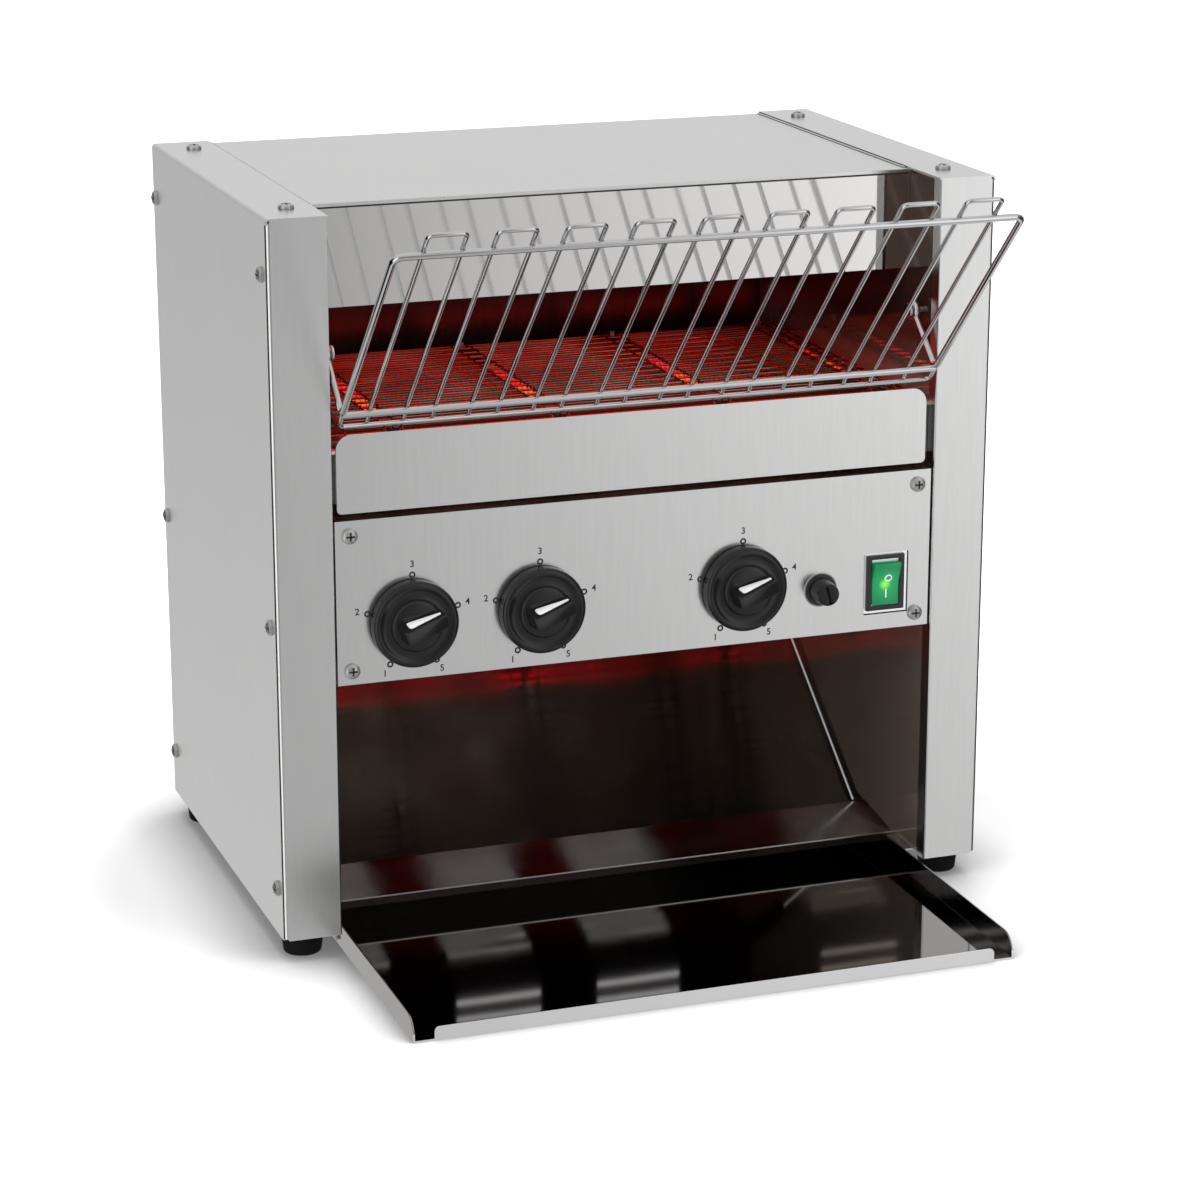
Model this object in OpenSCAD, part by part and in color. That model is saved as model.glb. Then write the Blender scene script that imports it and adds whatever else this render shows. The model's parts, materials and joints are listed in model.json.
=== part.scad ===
// Conveyor toaster: countertop bread and bun toaster with a wire belt between
// two rows of quartz elements, a feed rack in front and a delivery tray below.
// Millimetres. X is to the right, Y to the back, Z up. The origin is on the table,
// at the middle of the whole footprint, tray included.

/* [Casing] */
// Width across the side panels
body_w = 431; // [400:2:480]
// Depth from the pillars' front to the back edge
body_d = 275; // [270:1:310]
// Height of the casing without its feet
body_h = 414; // [412:1:440]
// Thickness of the casing sheet
sheet_t = 1.2; // [1:0.1:1.5]
// Width of the front pillars
pillar_w = 34; // [32:1:40]
// Outer radius of the sheet's bends
bend_r = 2.4; // [2:0.1:3]
// Set-back of the top panel's front edge
top_setback = 45; // [40:1:50]
// Height of the mirror apron under the top panel
apron_h = 60; // [50:1:60]

/* [Feet] */
// Height of the rubber feet
foot_h = 14; // [13:1:20]
// Diameter of the rubber feet
foot_dia = 25; // [20:1:27]
// Distance from a panel's outside to the foot's centre
foot_inset = 15.5; // [15:0.5:17]

/* [Front plates] */
// Underside of the control panel above the casing's bottom
panel_z = 148; // [140:1:150]
// Height of the control panel
panel_h = 95; // [92:1:100]
// Set-back of the control panel
panel_setback = 1.5; // [1:0.1:2]
// Gap between the control panel and the guard plate
guard_gap = 3; // [2:0.5:5]
// Height of the guard plate
guard_h = 45; // [42:1:46]
// Set-back of the guard plate
guard_setback = 5; // [4.5:0.1:5.5]
// Gap between the guard plate and each pillar
guard_side_gap = 3.5; // [3:0.5:5]

/* [Controls] */
// Diameter of the knobs
knob_dia = 50; // [44:1:52]
// Height of the knobs' skirt
knob_skirt_h = 8; // [6:0.5:9]
// Height of the knobs' grip above the skirt, at its back
knob_grip_h = 17; // [14:0.5:19]
// Height of the knobs' grip above the skirt, at its nose
knob_nose_h = 10; // [8:0.5:12]
// Diameter of the knobs' spindles
spindle_dia = 6; // [5:0.5:7]
// Side of the energy regulators' housings
regulator_w = 34; // [30:1:38]
// Depth of the energy regulators' housings
regulator_d = 24; // [20:1:30]
// Width of the switch bezel
switch_w = 24; // [23:0.5:26]
// Height of the switch bezel
switch_h = 33.5; // [32:0.5:35]
// Diameter of the fuse holder's cap
fuse_cap_dia = 15.5; // [14:0.5:17]

/* [Conveyor] */
// Number of rods in the belt
belt_rods = 39; // [39:1:40]
// Distance from rod to rod
belt_pitch = 12; // [11.8:0.1:12.2]
// Number of teeth on a belt sprocket
belt_teeth = 8; // [8:1:8]
// Diameter of the belt's wire
belt_wire = 2.2; // [1.8:0.1:2.6]
// Gap between the belt and each inner wall
belt_side_gap = 14.7; // [11:0.1:18]
// Height of the shafts above the casing's bottom
shaft_z = 273; // [271:1:274]
// Distance from the pillars' front to the front shaft
shaft_y = 28; // [27:0.5:32]
// Diameter of the shafts
shaft_dia = 10; // [9:0.5:12]
// Running clearance of the shafts in their bushes, on the radius
running_fit = 0.06; // [0.02:0.01:0.09]
// Mean distance from the belt's edges to the outer sprockets
sprocket_edge = 20.25; // [19:0.25:30]

/* [Chain drive] */
// Number of links in the chain
chain_links = 38; // [36:2:38]
// Pitch of the chain
chain_pitch = 6.35; // [6.2:0.05:6.5]
// Number of teeth on both chain sprockets
chain_teeth = 12; // [12:4:12]
// Diameter of the gear motor
motor_dia = 46; // [40:1:48]
// Length of the gear motor's body
motor_len = 42; // [30:1:46]

/* [Heating] */
// Diameter of the quartz elements
element_dia = 10; // [8:0.5:11]
// Number of elements in each row
element_count = 4; // [3:1:5]
// Diameter of the elements' ceramic end caps
cap_dia = 16; // [14:0.5:18]
// Distance from the casing's top down to the upper elements
upper_drop = 41; // [39:1:43]

/* [Feed rack] */
// Diameter of the rack's frame wire
rack_frame_wire = 4; // [3.5:0.1:4.5]
// Diameter of the rack's inner wires
rack_wire = 2.6; // [2:0.1:3]
// Slope of the rack
rack_slope = 45; // [42:1:48]
// Length of the rack along its slope
rack_len = 150; // [130:2:156]
// Number of loops along the rack's top
rack_loops = 9; // [7:1:9]
// Distance from loop to loop
rack_loop_step = 37.6; // [34:0.2:38]
// Width of a loop
rack_loop_w = 21; // [16:0.5:22]
// Rise of a loop past the top bar
rack_loop_rise = 14; // [10:0.5:20]

/* [Chute and tray] */
// Slope of the delivery chute
chute_slope = 36.5; // [33:0.5:37]
// Length of the chute's flat front lip
chute_lip = 58; // [40:1:60]
// How far the tray reaches in front of the pillars
tray_out = 130; // [110:1:150]
// Length of the tray
tray_len = 300; // [270:2:310]
// Height of the tray's sides
tray_side_h = 13.8; // [12:0.1:13.8]
// Height of the tray's front lip
tray_lip_h = 8; // [6:0.5:10]

/* [Fasteners] */
// Diameter of the screws' shanks
screw_dia = 4; // [3.5:0.1:4.5]
// Diameter of the screws' heads
screw_head_dia = 9; // [8:0.1:10]
// Height of the screws' heads
screw_head_h = 2.8; // [2.4:0.1:3.2]

/* [Hidden] */
$fn = 48;

// Clearances
slide_gap = 0.3;                      // between pieces that pass each other
hole_gap = 0.2;                       // round a screw or a bush, on the radius
snug_gap = 0.05;                      // round a part pressed into a plate
weld_sink = 0.6;                      // how far crossing wires sink into each other
weld_step = 0.1;                      // difference in diameter of wires that meet
sliver = 0.01;                        // overlap that joins two shapes of one piece

// Casing
half_w = body_w / 2;
inner_x = half_w - pillar_w + sheet_t;       // inside face of the inner walls
wall_x = inner_x + sheet_t;                  // outside face of the inner walls
side_x = half_w - sheet_t;                   // inside face of the side panels
top_flange_w = pillar_w + 1;
pillar_return = 10;
behind_return = pillar_return + slide_gap;   // clear of the pillar's folded edge
gland_out = 14;
front_y = (tray_out - body_d - gland_out) / 2;
notch = 3;
back_in = body_d - sheet_t;                  // inside face of the back panel
back_flange = 15;
wall_top = body_h - 2 * sheet_t;             // underside of the top panel

// Screws
screw_hole_dia = screw_dia + 2 * hole_gap;
screw_len = 7;
side_screw_y = [12, body_d - 7];
side_screw_z = [28.5, 183, body_h - 32];
top_screw_y = [30, body_d - 28];
top_screw_x = half_w - 19.5;
panel_screw_x = half_w - 43.5;
panel_screw_z = [panel_z + 8.2, panel_z + panel_h - 8.7];
back_screw_z = [20, body_h / 2, body_h - 20];
back_screw_x = inner_x + pillar_w / 2;

// Cable gland in the left bay of the back panel
gland_x = -back_screw_x;
gland_z = 60;
gland_thread_dia = 16;
gland_bore_dia = 8;
gland_nut_dia = 24;

// Front plates
guard_z = panel_z + panel_h + guard_gap;
plate_return = 12;
panel_half = half_w - pillar_w - 1;
guard_half = half_w - pillar_w - guard_side_gap;
box_front = panel_setback + sheet_t;

// Controls
bottom_knob_pos = [-136.3, panel_z + 33.5];
top_knob_pos = [-61, panel_z + 34];
speed_knob_pos = [62.5, panel_z + 34.5];
fuse_pos = [111.4, panel_z + 28];
switch_pos = [152, panel_z + 29];
knob_angle = 15;
knob_gap = 0.8;
knob_face = panel_setback - knob_gap;        // back of a knob's skirt
spindle_bush_dia = spindle_dia + 3.4;
boss_dia = 30;
boss_h = 2;
grip_back = 11.4;                            // from the knob's axis to the grip's ends
grip_nose = 16.2;
grip_w = 9;
pointer_back = 6.8;                          // from the knob's axis to the pointer's ends
pointer_tip = 13.4;
pointer_edge = 3.2;                          // bare strip of the grip beside the pointer
pointer_proud = 0.3;
pointer_depth = 1.6;                         // how deep the pointer lies in the grip
spindle_out = 10;                            // spindle inside the knob
spindle_in = 6;                              // spindle behind the panel
fuse_body_dia = 12;
fuse_stem_dia = 8;
fuse_slot_angle = -15;
switch_body_w = switch_w - 3;
switch_body_h = switch_h - 4;
rocker_tilt = 8;
rocker_half = 13;
rocker_w = 17;
rocker_pin_dia = 3;
rocker_pivot_y = panel_setback + 1;

// Conveyor: pitch circles follow from whole links round both wheels
belt_r = belt_teeth * belt_pitch / (2 * PI);
belt_c = (belt_rods - belt_teeth) * belt_pitch / 2;
belt_w = 2 * (inner_x - belt_side_gap);
rear_shaft_y = shaft_y + belt_c;
sprocket_shift = 9;                          // of the whole row to the right
sprocket_count = 4;
sprocket_step = (belt_w - 2 * sprocket_edge) / (sprocket_count - 1);
sprocket_t = 3;
tooth_rise = 3;                              // of a tooth past the pitch circle
shaft_end = wall_x + 8;
drive_x = wall_x + 12;                       // mid-plane of the chain
bush_len = 9;
bush_flange_dia = shaft_dia + 10;
bush_dia = shaft_dia + 5;
rail_z = shaft_z + belt_r - belt_wire / 2 - slide_gap;
lane_out = 8;                                // from a sprocket to the belt's lane beside it

// A tooth points midway between two rods
front_phase = 90 - 180 / belt_teeth;
rear_phase = 90 + 180 / belt_teeth * (1 + (belt_rods - belt_teeth) % 2);

// Chain
chain_r = chain_teeth * chain_pitch / (2 * PI);
chain_c = (chain_links - chain_teeth) * chain_pitch / 2;
chain_roller_dia = 3.3;
chain_plate_t = 0.6;
chain_plate_h = 5.4;
chain_inner_x = 1.6;
chain_sprocket_t = 2.4;
motor_dy = 32;
motor_y = shaft_y + motor_dy;
motor_z = shaft_z - sqrt(chain_c * chain_c - motor_dy * motor_dy);
chain_angle = -acos(motor_dy / chain_c);     // from +Y towards +Z
chain_phase = 180 / chain_teeth + chain_angle + 90;
motor_shaft_dia = 8;
gearbox_len = 20;
motor_room = 5;
box_depth = motor_y + motor_dia / 2 + motor_room;

// Elements
upper_z = body_h - upper_drop;
element_end = wall_x + 16;
cap_len = 14;
cap_wall_gap = 0.15;
lower_pitch = (belt_c - 2 * belt_r - 2 * element_dia - 6) / (element_count - 1);
lower_y0 = shaft_y + belt_r + element_dia + 3;
upper_pitch = 40;
upper_y0 = 76;
reflector_z = upper_z + 17;
reflector_skirt = 50;
reflector_gap = 12;                          // to the back panel
guard_rod_dia = 2.5;
guard_rod_z = upper_z - 15;

// Feed rack, from the middle of its bottom bar
rack_y = -7;
rack_z = 305;
rack_half = half_w - pillar_w - 4.5;
pivot_y = 24;
pivot_z = 333;
pivot_dia = 4;
pivot_head_dia = 9;
eye_r = pivot_dia / 2 + slide_gap + rack_frame_wire / 2;
rack_top = [rack_y - rack_len * cos(rack_slope), rack_z + rack_len * sin(rack_slope)];
rack_ledge = [rack_y + 8, rack_z - 8];

// Chute and tray
chute_t = 1;
chute_z = 0.8;                               // underside of the flat lip
chute_bend_y = 105;
chute_side_h = 9;
chute_back = body_d - 2 * sheet_t - 2;
tray_t = 1;
tray_half = half_w - pillar_w - 3;
tray_round = 12;
runner_gap = 0.3;

// Points on a loop of rods round two equal wheels, s along it from the near
// wheel's top; gives [along, across, heading in degrees].
function loop_point(s, c, r) =
    s < c ? [s, r, 0]
    : s < c + PI * r ? far_arc((s - c) / r * 180 / PI, c, r)
    : s < 2 * c + PI * r ? [c - (s - c - PI * r), -r, 180]
    : near_arc((s - 2 * c - PI * r) / r * 180 / PI, r);
function far_arc(a, c, r) = [c + r * sin(a), r * cos(a), -a];
function near_arc(a, r) = [-r * sin(a), -r * cos(a), 180 - a];

// Places a child in the casing's frame: Y from the pillars' front, Z from its bottom
module casing() {
    translate([0, front_y, foot_h]) children();
}

// A rounded bar between two points
module wire(p, q, d) {
    v = q - p;
    len = norm(v);
    translate(p)
        rotate([0, acos(v[2] / len), atan2(v[1], v[0])])
            cylinder(h = len, d = d, $fn = 24);
}

module ball(p, d) {
    translate(p) sphere(d = d, $fn = 24);
}

// A cylinder along X, centred on the given point
module x_cyl(p, len, d) {
    translate(p) rotate([0, 90, 0]) cylinder(h = len, d = d, center = true);
}

// A cylinder along Y that starts at the given point and runs to the back
module y_cyl(p, len, d) {
    translate(p) rotate([-90, 0, 0]) cylinder(h = len, d = d);
}

// A block between two corners
module block(p, q) {
    translate(p) cube(q - p);
}

// A pan head screw with a cross recess; its head stands on z = 0, its shank hangs down
module pan_screw() {
    recess_w = 1.1;
    recess_len = screw_head_dia * 0.55;
    difference() {
        rotate_extrude() {
            square([screw_head_dia / 2, screw_head_h * 0.45]);
            intersection() {
                translate([0, screw_head_h - screw_head_dia]) circle(r = screw_head_dia);
                square([screw_head_dia / 2 - 0.4, screw_head_h]);
            }
        }
        for (a = [0, 90])
            rotate([0, 0, a])
                translate([-recess_len / 2, -recess_w / 2, screw_head_h - 1.6])
                    cube([recess_len, recess_w, 2]);
    }
    translate([0, 0, -screw_len]) cylinder(h = screw_len + sliver, d = screw_dia);
}

// Puts its child, which points along +Z, at a place where it points outwards
module side_places(s) {
    for (y = side_screw_y)
        for (z = side_screw_z)
            translate([s * half_w, y, z]) rotate([0, s * 90, 0]) children();
}

module top_places() {
    for (s = [-1, 1])
        for (y = top_screw_y)
            translate([s * top_screw_x, y, body_h]) children();
}

module panel_places() {
    for (s = [-1, 1])
        for (z = panel_screw_z)
            translate([s * panel_screw_x, panel_setback, z]) rotate([90, 0, 0]) children();
}

module back_places() {
    for (s = [-1, 1])
        for (z = back_screw_z)
            translate([s * back_screw_x, body_d, z]) rotate([-90, 0, 0]) children();
}

module screw_bore(depth) {
    translate([0, 0, -depth]) cylinder(h = depth + 1, d = screw_hole_dia);
}

// Outline of a bent sheet corner: legs a and b from an outer corner at the origin
module bent_corner(a, b, t, r) {
    translate([r, 0]) square([a - r, t]);
    translate([0, r]) square([t, b - r]);
    intersection() {
        square([r, r]);
        translate([r, r]) difference() {
            circle(r = r);
            circle(r = r - t);
        }
    }
}

// Side panel: side sheet, front pillar with its folded inner edge, top and bottom flange
module side_panel(s) {
    difference() {
        mirrored(s) {
            translate([half_w, 0, sheet_t])
                rotate([0, 0, 90])
                    linear_extrude(body_h - sheet_t - bend_r)
                        bent_corner(body_d, pillar_w, sheet_t, bend_r);
            block([half_w - pillar_w, 0, sheet_t], [inner_x, pillar_return, body_h - bend_r]);
            // top flange
            translate([half_w, body_d, body_h])
                rotate([90, 0, 0])
                    linear_extrude(body_d)
                        rotate([0, 0, 180])
                            bent_corner(top_flange_w, bend_r + 1, sheet_t, bend_r);
            block([half_w - pillar_w, 0, body_h - bend_r - sliver],
                  [half_w - bend_r, sheet_t, body_h - sheet_t + sliver]);
            block([half_w - pillar_w, 0, body_h - bend_r - sliver],
                  [inner_x, pillar_return, body_h - sheet_t + sliver]);
            // bottom flange, notched at the front corner
            block([inner_x, notch, 0], [half_w, body_d, sheet_t]);
            block([half_w - pillar_w, 0, 0], [half_w - notch, sheet_t, sheet_t + sliver]);
            block([half_w - pillar_w, 0, 0], [inner_x, pillar_return, sheet_t + sliver]);
            block([inner_x - sliver, sheet_t - sliver, 0], [half_w - notch, notch + sliver, sheet_t]);
        }
        side_places(s) screw_bore(5);
        top_places() screw_bore(5);
        feet_places() translate([0, 0, -1]) cylinder(h = 4, d = screw_hole_dia);
    }
}

// Mirrors a child in X for the left side
module mirrored(s) {
    if (s < 0) mirror([1, 0, 0]) children();
    else children();
}

module left_side_panel() {
    color("gainsboro") casing() side_panel(-1);
}

module right_side_panel() {
    color("gainsboro") casing() side_panel(1);
}

// Mirror inner wall with its bores for shafts, elements and pivot stud
module inner_wall(s) {
    mirrored(s) difference() {
        union() {
            block([inner_x, sheet_t, sheet_t], [wall_x, back_in, wall_top]);
            block([inner_x, back_in - sheet_t, sheet_t], [back_screw_x + 8, back_in, wall_top]);
        }
        back_places() screw_bore(5);
        if (s < 0) y_cyl([-gland_x, back_in - 5, gland_z], 8, gland_nut_dia + 2);
        for (y = [shaft_y, rear_shaft_y])
            x_cyl([wall_x, y, shaft_z], 10, bush_dia + 2 * snug_gap);
        element_places() x_cyl([wall_x, 0, 0], 10, element_dia + 1);
        x_cyl([wall_x, pivot_y, pivot_z], 10, pivot_dia + 2 * snug_gap);
        if (s > 0) x_cyl([wall_x, motor_y, motor_z], 10, motor_shaft_dia + 4);
    }
}

module left_inner_wall() {
    color("silver") casing() inner_wall(-1);
}

module right_inner_wall() {
    color("silver") casing() inner_wall(1);
}

// Post behind a pillar: it ties the side panel to the inner wall
module front_post(s) {
    post_top = wall_top - 1;
    outer_leg = 18;
    inner_leg = 12;
    difference() {
        mirrored(s) {
            translate([side_x, sheet_t, 2 * sheet_t])
                rotate([0, 0, 90])
                    linear_extrude(post_top - 2 * sheet_t)
                        bent_corner(outer_leg - sheet_t, side_x - wall_x, sheet_t, bend_r - sheet_t / 2);
            block([wall_x, sheet_t, 2 * sheet_t], [wall_x + sheet_t, inner_leg, post_top]);
        }
        side_places(s) screw_bore(5);
    }
}

module left_front_post() {
    color("lightgray") casing() front_post(-1);
}

module right_front_post() {
    color("lightgray") casing() front_post(1);
}

// Top panel: it lies on the inner walls, and its tabs reach under the side flanges
module top_panel() {
    tab_x = side_x - 6;
    color("gainsboro") casing() difference() {
        union() {
            block([-tab_x, top_setback, wall_top], [tab_x, body_d - sheet_t, wall_top + sheet_t]);
            for (s = [-1, 1])
                mirrored(s)
                    block([inner_x, 2 * sheet_t + 1, wall_top], [tab_x, top_setback + 1, wall_top + sheet_t]);
            // hemmed front edge over the apron
            block([-inner_x + 0.5, top_setback - sheet_t, wall_top - 1],
                  [inner_x - 0.5, top_setback, wall_top + sheet_t]);
        }
        top_places() screw_bore(6);
    }
}

// Mirror apron under the top panel's front edge, with a return along its foot
module front_apron() {
    apron_z = body_h - apron_h;
    apron_return = 9;
    color("silver") casing() {
        block([-inner_x, top_setback, apron_z], [inner_x, top_setback + sheet_t, wall_top]);
        block([-inner_x, top_setback, apron_z], [inner_x, top_setback + apron_return, apron_z + sheet_t]);
    }
}

// Back panel with louvre slots and forward flanges
module back_panel() {
    slot_w = 60;
    slot_h = 4;
    slot_rows = 7;
    slot_step = 12;
    column_step = 100;
    color("gainsboro") casing() difference() {
        union() {
            block([-side_x, back_in, sheet_t], [side_x, body_d, wall_top]);
            for (s = [-1, 1])
                mirrored(s)
                    block([side_x - sheet_t, back_in - back_flange, 2 * sheet_t],
                          [side_x, back_in + sliver, wall_top - 1]);
        }
        for (x = [-column_step, 0, column_step])
            for (i = [0 : slot_rows - 1])
                louvre([x, back_in - 1, panel_z + i * slot_step], slot_w, slot_h);
        y_cyl([gland_x, back_in - 1, gland_z], 4, gland_thread_dia + 2 * hole_gap);
        for (s = [-1, 1]) side_places(s) screw_bore(5);
        back_places() screw_bore(5);
    }
}

// A slot with round ends through the back panel
module louvre(p, w, h) {
    translate(p) rotate([-90, 0, 0]) linear_extrude(4) {
        square([w - h, h], center = true);
        for (s = [-1, 1]) translate([s * (w - h) / 2, 0]) circle(d = h);
    }
}

// Control panel with bent top and bottom edges
module control_panel() {
    color("gainsboro") casing() difference() {
        union() {
            block([-panel_half, panel_setback, panel_z], [panel_half, box_front, panel_z + panel_h]);
            for (z = [panel_z, panel_z + panel_h - sheet_t])
                block([-panel_half, panel_setback, z], [panel_half, plate_return, z + sheet_t]);
        }
        panel_places() screw_bore(5);
        for (p = [bottom_knob_pos, top_knob_pos, speed_knob_pos])
            y_cyl([p[0], 0, p[1]], 5, spindle_bush_dia + 2 * hole_gap);
        y_cyl([fuse_pos[0], 0, fuse_pos[1]], 5, fuse_body_dia + 2 * hole_gap);
        block([switch_pos[0] - switch_body_w / 2 - hole_gap, 0, switch_pos[1] - switch_body_h / 2 - hole_gap],
              [switch_pos[0] + switch_body_w / 2 + hole_gap, 5, switch_pos[1] + switch_body_h / 2 + hole_gap]);
    }
}

// Guard plate in front of the belt, held by an ear on each inner wall
module guard_plate() {
    ear_back = behind_return + sheet_t;
    color("gainsboro") casing() {
        translate([0, guard_setback + sheet_t, 0]) rotate([90, 0, 0]) linear_extrude(sheet_t)
            plate_outline(guard_half, guard_z, guard_h, 9, 3);
        for (s = [-1, 1]) mirrored(s) {
            block([guard_half - sheet_t, guard_setback + sliver, guard_z + 5],
                  [guard_half, ear_back, guard_z + guard_h - 12]);
            block([guard_half - sheet_t, behind_return, guard_z + 5],
                  [inner_x, ear_back, guard_z + guard_h - 12]);
        }
    }
}

// Upright plate outline with two corner radii, large above and small below
module plate_outline(half, z, h, r_top, r_low) {
    translate([-half, z + r_low]) square([2 * half, h - r_low - r_top]);
    translate([-half + r_top, z + h - r_top]) square([2 * (half - r_top), r_top]);
    translate([-half + r_low, z]) square([2 * (half - r_low), r_low]);
    for (s = [-1, 1]) {
        translate([s * (half - r_top), z + h - r_top]) circle(r = r_top);
        translate([s * (half - r_low), z + r_low]) circle(r = r_low);
    }
}

// Control box behind the control panel: floor, back, roof and screw ears
module control_box() {
    box_z = panel_z + sheet_t;
    box_top = panel_z + panel_h - sheet_t;
    ear_w = 18;
    color("lightgray") casing() difference() {
        union() {
            block([-inner_x, plate_return, box_z], [inner_x, box_depth, box_z + sheet_t]);
            block([-inner_x, plate_return, box_top - sheet_t], [inner_x, box_depth, box_top]);
            block([-inner_x, box_depth - sheet_t, box_z], [inner_x, box_depth, box_top]);
            for (s = [-1, 1]) mirrored(s) {
                // the side steps inwards to pass the pillar's folded edge
                block([inner_x - sheet_t, behind_return, box_z], [inner_x, box_depth, box_top]);
                block([panel_half - sheet_t, behind_return, box_z],
                      [inner_x, behind_return + sheet_t, box_top]);
                block([panel_half - sheet_t, box_front, box_z],
                      [panel_half, behind_return + sheet_t, box_top]);
                for (z = panel_screw_z)
                    block([panel_half - ear_w, box_front, z - 7], [panel_half, box_front + sheet_t, z + 7]);
            }
        }
        panel_places() screw_bore(6);
        x_cyl([wall_x, motor_y, motor_z], 10, motor_shaft_dia + 4);
    }
}

// Delivery chute: flat lip, incline and low side flanges
module chute() {
    rise = tan(chute_slope);
    top_z = chute_z + (chute_back - chute_bend_y) * rise;
    drop = chute_t / cos(chute_slope);
    lip_front = chute_bend_y - chute_lip;
    side = [
        [lip_front, chute_z],
        [chute_bend_y, chute_z],
        [chute_back, top_z],
        [chute_back, top_z + chute_side_h],
        [chute_bend_y - 4, chute_z + chute_side_h],
        [lip_front, chute_z + chute_t]
    ];
    floor_line = [
        [lip_front, chute_z],
        [chute_bend_y, chute_z],
        [chute_back, top_z],
        [chute_back, top_z + drop],
        [chute_bend_y - chute_t * tan(chute_slope / 2), chute_z + chute_t],
        [lip_front, chute_z + chute_t]
    ];
    color("silver") casing() {
        across(-inner_x, inner_x) polygon(floor_line);
        across(-inner_x, -inner_x + chute_t) polygon(side);
        across(inner_x - chute_t, inner_x) polygon(side);
    }
}

// Extrudes a Y-Z outline along X from x0 to x1
module across(x0, x1) {
    translate([x0, 0, 0]) rotate([90, 0, 90]) linear_extrude(x1 - x0) children();
}

// Delivery tray: polished pan with round-nosed sides and a short front lip
module tray() {
    y0 = -tray_out;
    y1 = tray_len - tray_out;
    z0 = -foot_h;
    nose = [tray_round, tray_side_h - tray_round];
    lip_in = 12;
    lip_round = 3;
    color("silver") casing() {
        block([-tray_half, y0, z0], [tray_half, y1, z0 + tray_t]);
        for (x = [-tray_half, tray_half - tray_t])
            across(x, x + tray_t) {
                translate([y0 + nose[0], z0]) square([tray_len - nose[0], tray_side_h]);
                translate([y0, z0]) square([nose[0] + sliver, nose[1]]);
                intersection() {
                    translate([y0 + nose[0], z0 + nose[1]]) circle(r = tray_round);
                    translate([y0, z0]) square([nose[0] + 1, tray_side_h]);
                }
            }
        block([-tray_half + tray_t, y1 - tray_t, z0], [tray_half - tray_t, y1, z0 + tray_side_h - 4]);
        translate([0, y0 + tray_t, 0]) rotate([90, 0, 0]) linear_extrude(tray_t) {
            half = tray_half - lip_in;
            translate([-half, z0]) square([2 * half, tray_lip_h - lip_round]);
            translate([-half + lip_round, z0]) square([2 * (half - lip_round), tray_lip_h]);
            for (s = [-1, 1])
                translate([s * (half - lip_round), z0 + tray_lip_h - lip_round]) circle(r = lip_round);
        }
    }
}

// Angle strips under the casing that guide the tray's sides
module tray_runners() {
    x0 = tray_half + runner_gap;
    color("lightgray") casing()
        for (s = [-1, 1]) mirrored(s) {
            block([x0, 20, -foot_h + 3], [x0 + sheet_t, body_d - 30, 0]);
            block([x0, 20, -sheet_t], [half_w - foot_inset - foot_dia / 2 - 0.5, body_d - 30, 0]);
        }
}

// Folding feed rack of chromed wire; its arms end in eyes on the pivot studs.
// Each wire is a little thinner than the one it is welded to.
module feed_rack() {
    f = rack_frame_wire;
    w = rack_wire;
    up = [0, -cos(rack_slope), sin(rack_slope)];
    low = [0, rack_y, rack_z];
    top = [0, rack_top[0], rack_top[1]];
    ledge = [0, rack_ledge[0], rack_ledge[1]];
    half = [rack_half, 0, 0];
    seat = (f + w) / 2 - weld_sink;
    lift = [0, seat * sin(rack_slope), seat * cos(rack_slope)];
    foot = ledge + [0, 0, w - weld_sink];
    loops = [for (i = [0 : rack_loops - 1]) (i - (rack_loops - 1) / 2) * rack_loop_step];
    color("silver") casing() {
        wire(low - half, low + half, f);
        wire(top - half, top + half, f);
        wire(ledge - half, ledge + half, w + weld_step);
        for (s = [-1, 1]) {
            corner = low + s * half;
            eye = [s * rack_half, pivot_y, pivot_z];
            back = unit(eye - corner);
            wire(corner, top + s * half, f - weld_step);
            ball(corner, f + weld_step);
            ball(top + s * half, f + weld_step);
            wire(corner, ledge + s * half, w);
            ball(ledge + s * half, w + 2 * weld_step);
            wire(corner, eye - back * (eye_r + weld_step), f - 3 * weld_step);
            translate(eye) rotate([0, 90, 0]) rotate_extrude() translate([eye_r, 0]) circle(d = f, $fn = 24);
        }
        for (c = loops) {
            crest = top + lift + up * rack_loop_rise;
            for (s = [-1, 1]) {
                x = [c + s * rack_loop_w / 2, 0, 0];
                wire(low + lift + x, crest + x, w);
                ball(low + lift + x, w + weld_step);
                wire(low + lift + x, foot + x, w - weld_step);
                ball(crest + x, w + weld_step);
            }
            wire(crest + [c - rack_loop_w / 2, 0, 0], crest + [c + rack_loop_w / 2, 0, 0], w - weld_step);
        }
    }
}

function unit(v) = v / norm(v);

// Headed studs on the inner walls that the rack swings on
module rack_pivot_studs() {
    head_t = 1.6;
    head_x = rack_half - rack_frame_wire / 2 - slide_gap - head_t;
    color("silver") casing()
        for (s = [-1, 1]) mirrored(s) {
            translate([0, pivot_y, pivot_z]) rotate([0, 90, 0]) {
                translate([0, 0, head_x]) cylinder(h = head_t, d = pivot_head_dia);
                translate([0, 0, head_x]) cylinder(h = wall_x + 3 - head_x, d = pivot_dia);
                translate([0, 0, wall_x]) cylinder(h = 3, d = pivot_head_dia);
            }
        }
}

// Conveyor shafts
module shaft_bar(y, x1) {
    translate([-shaft_end, y, shaft_z]) rotate([0, 90, 0]) cylinder(h = x1 + shaft_end, d = shaft_dia);
}

module front_shaft() {
    color("darkgray") casing() shaft_bar(shaft_y, drive_x + 6);
}

module rear_shaft() {
    color("darkgray") casing() shaft_bar(rear_shaft_y, shaft_end);
}

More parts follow.
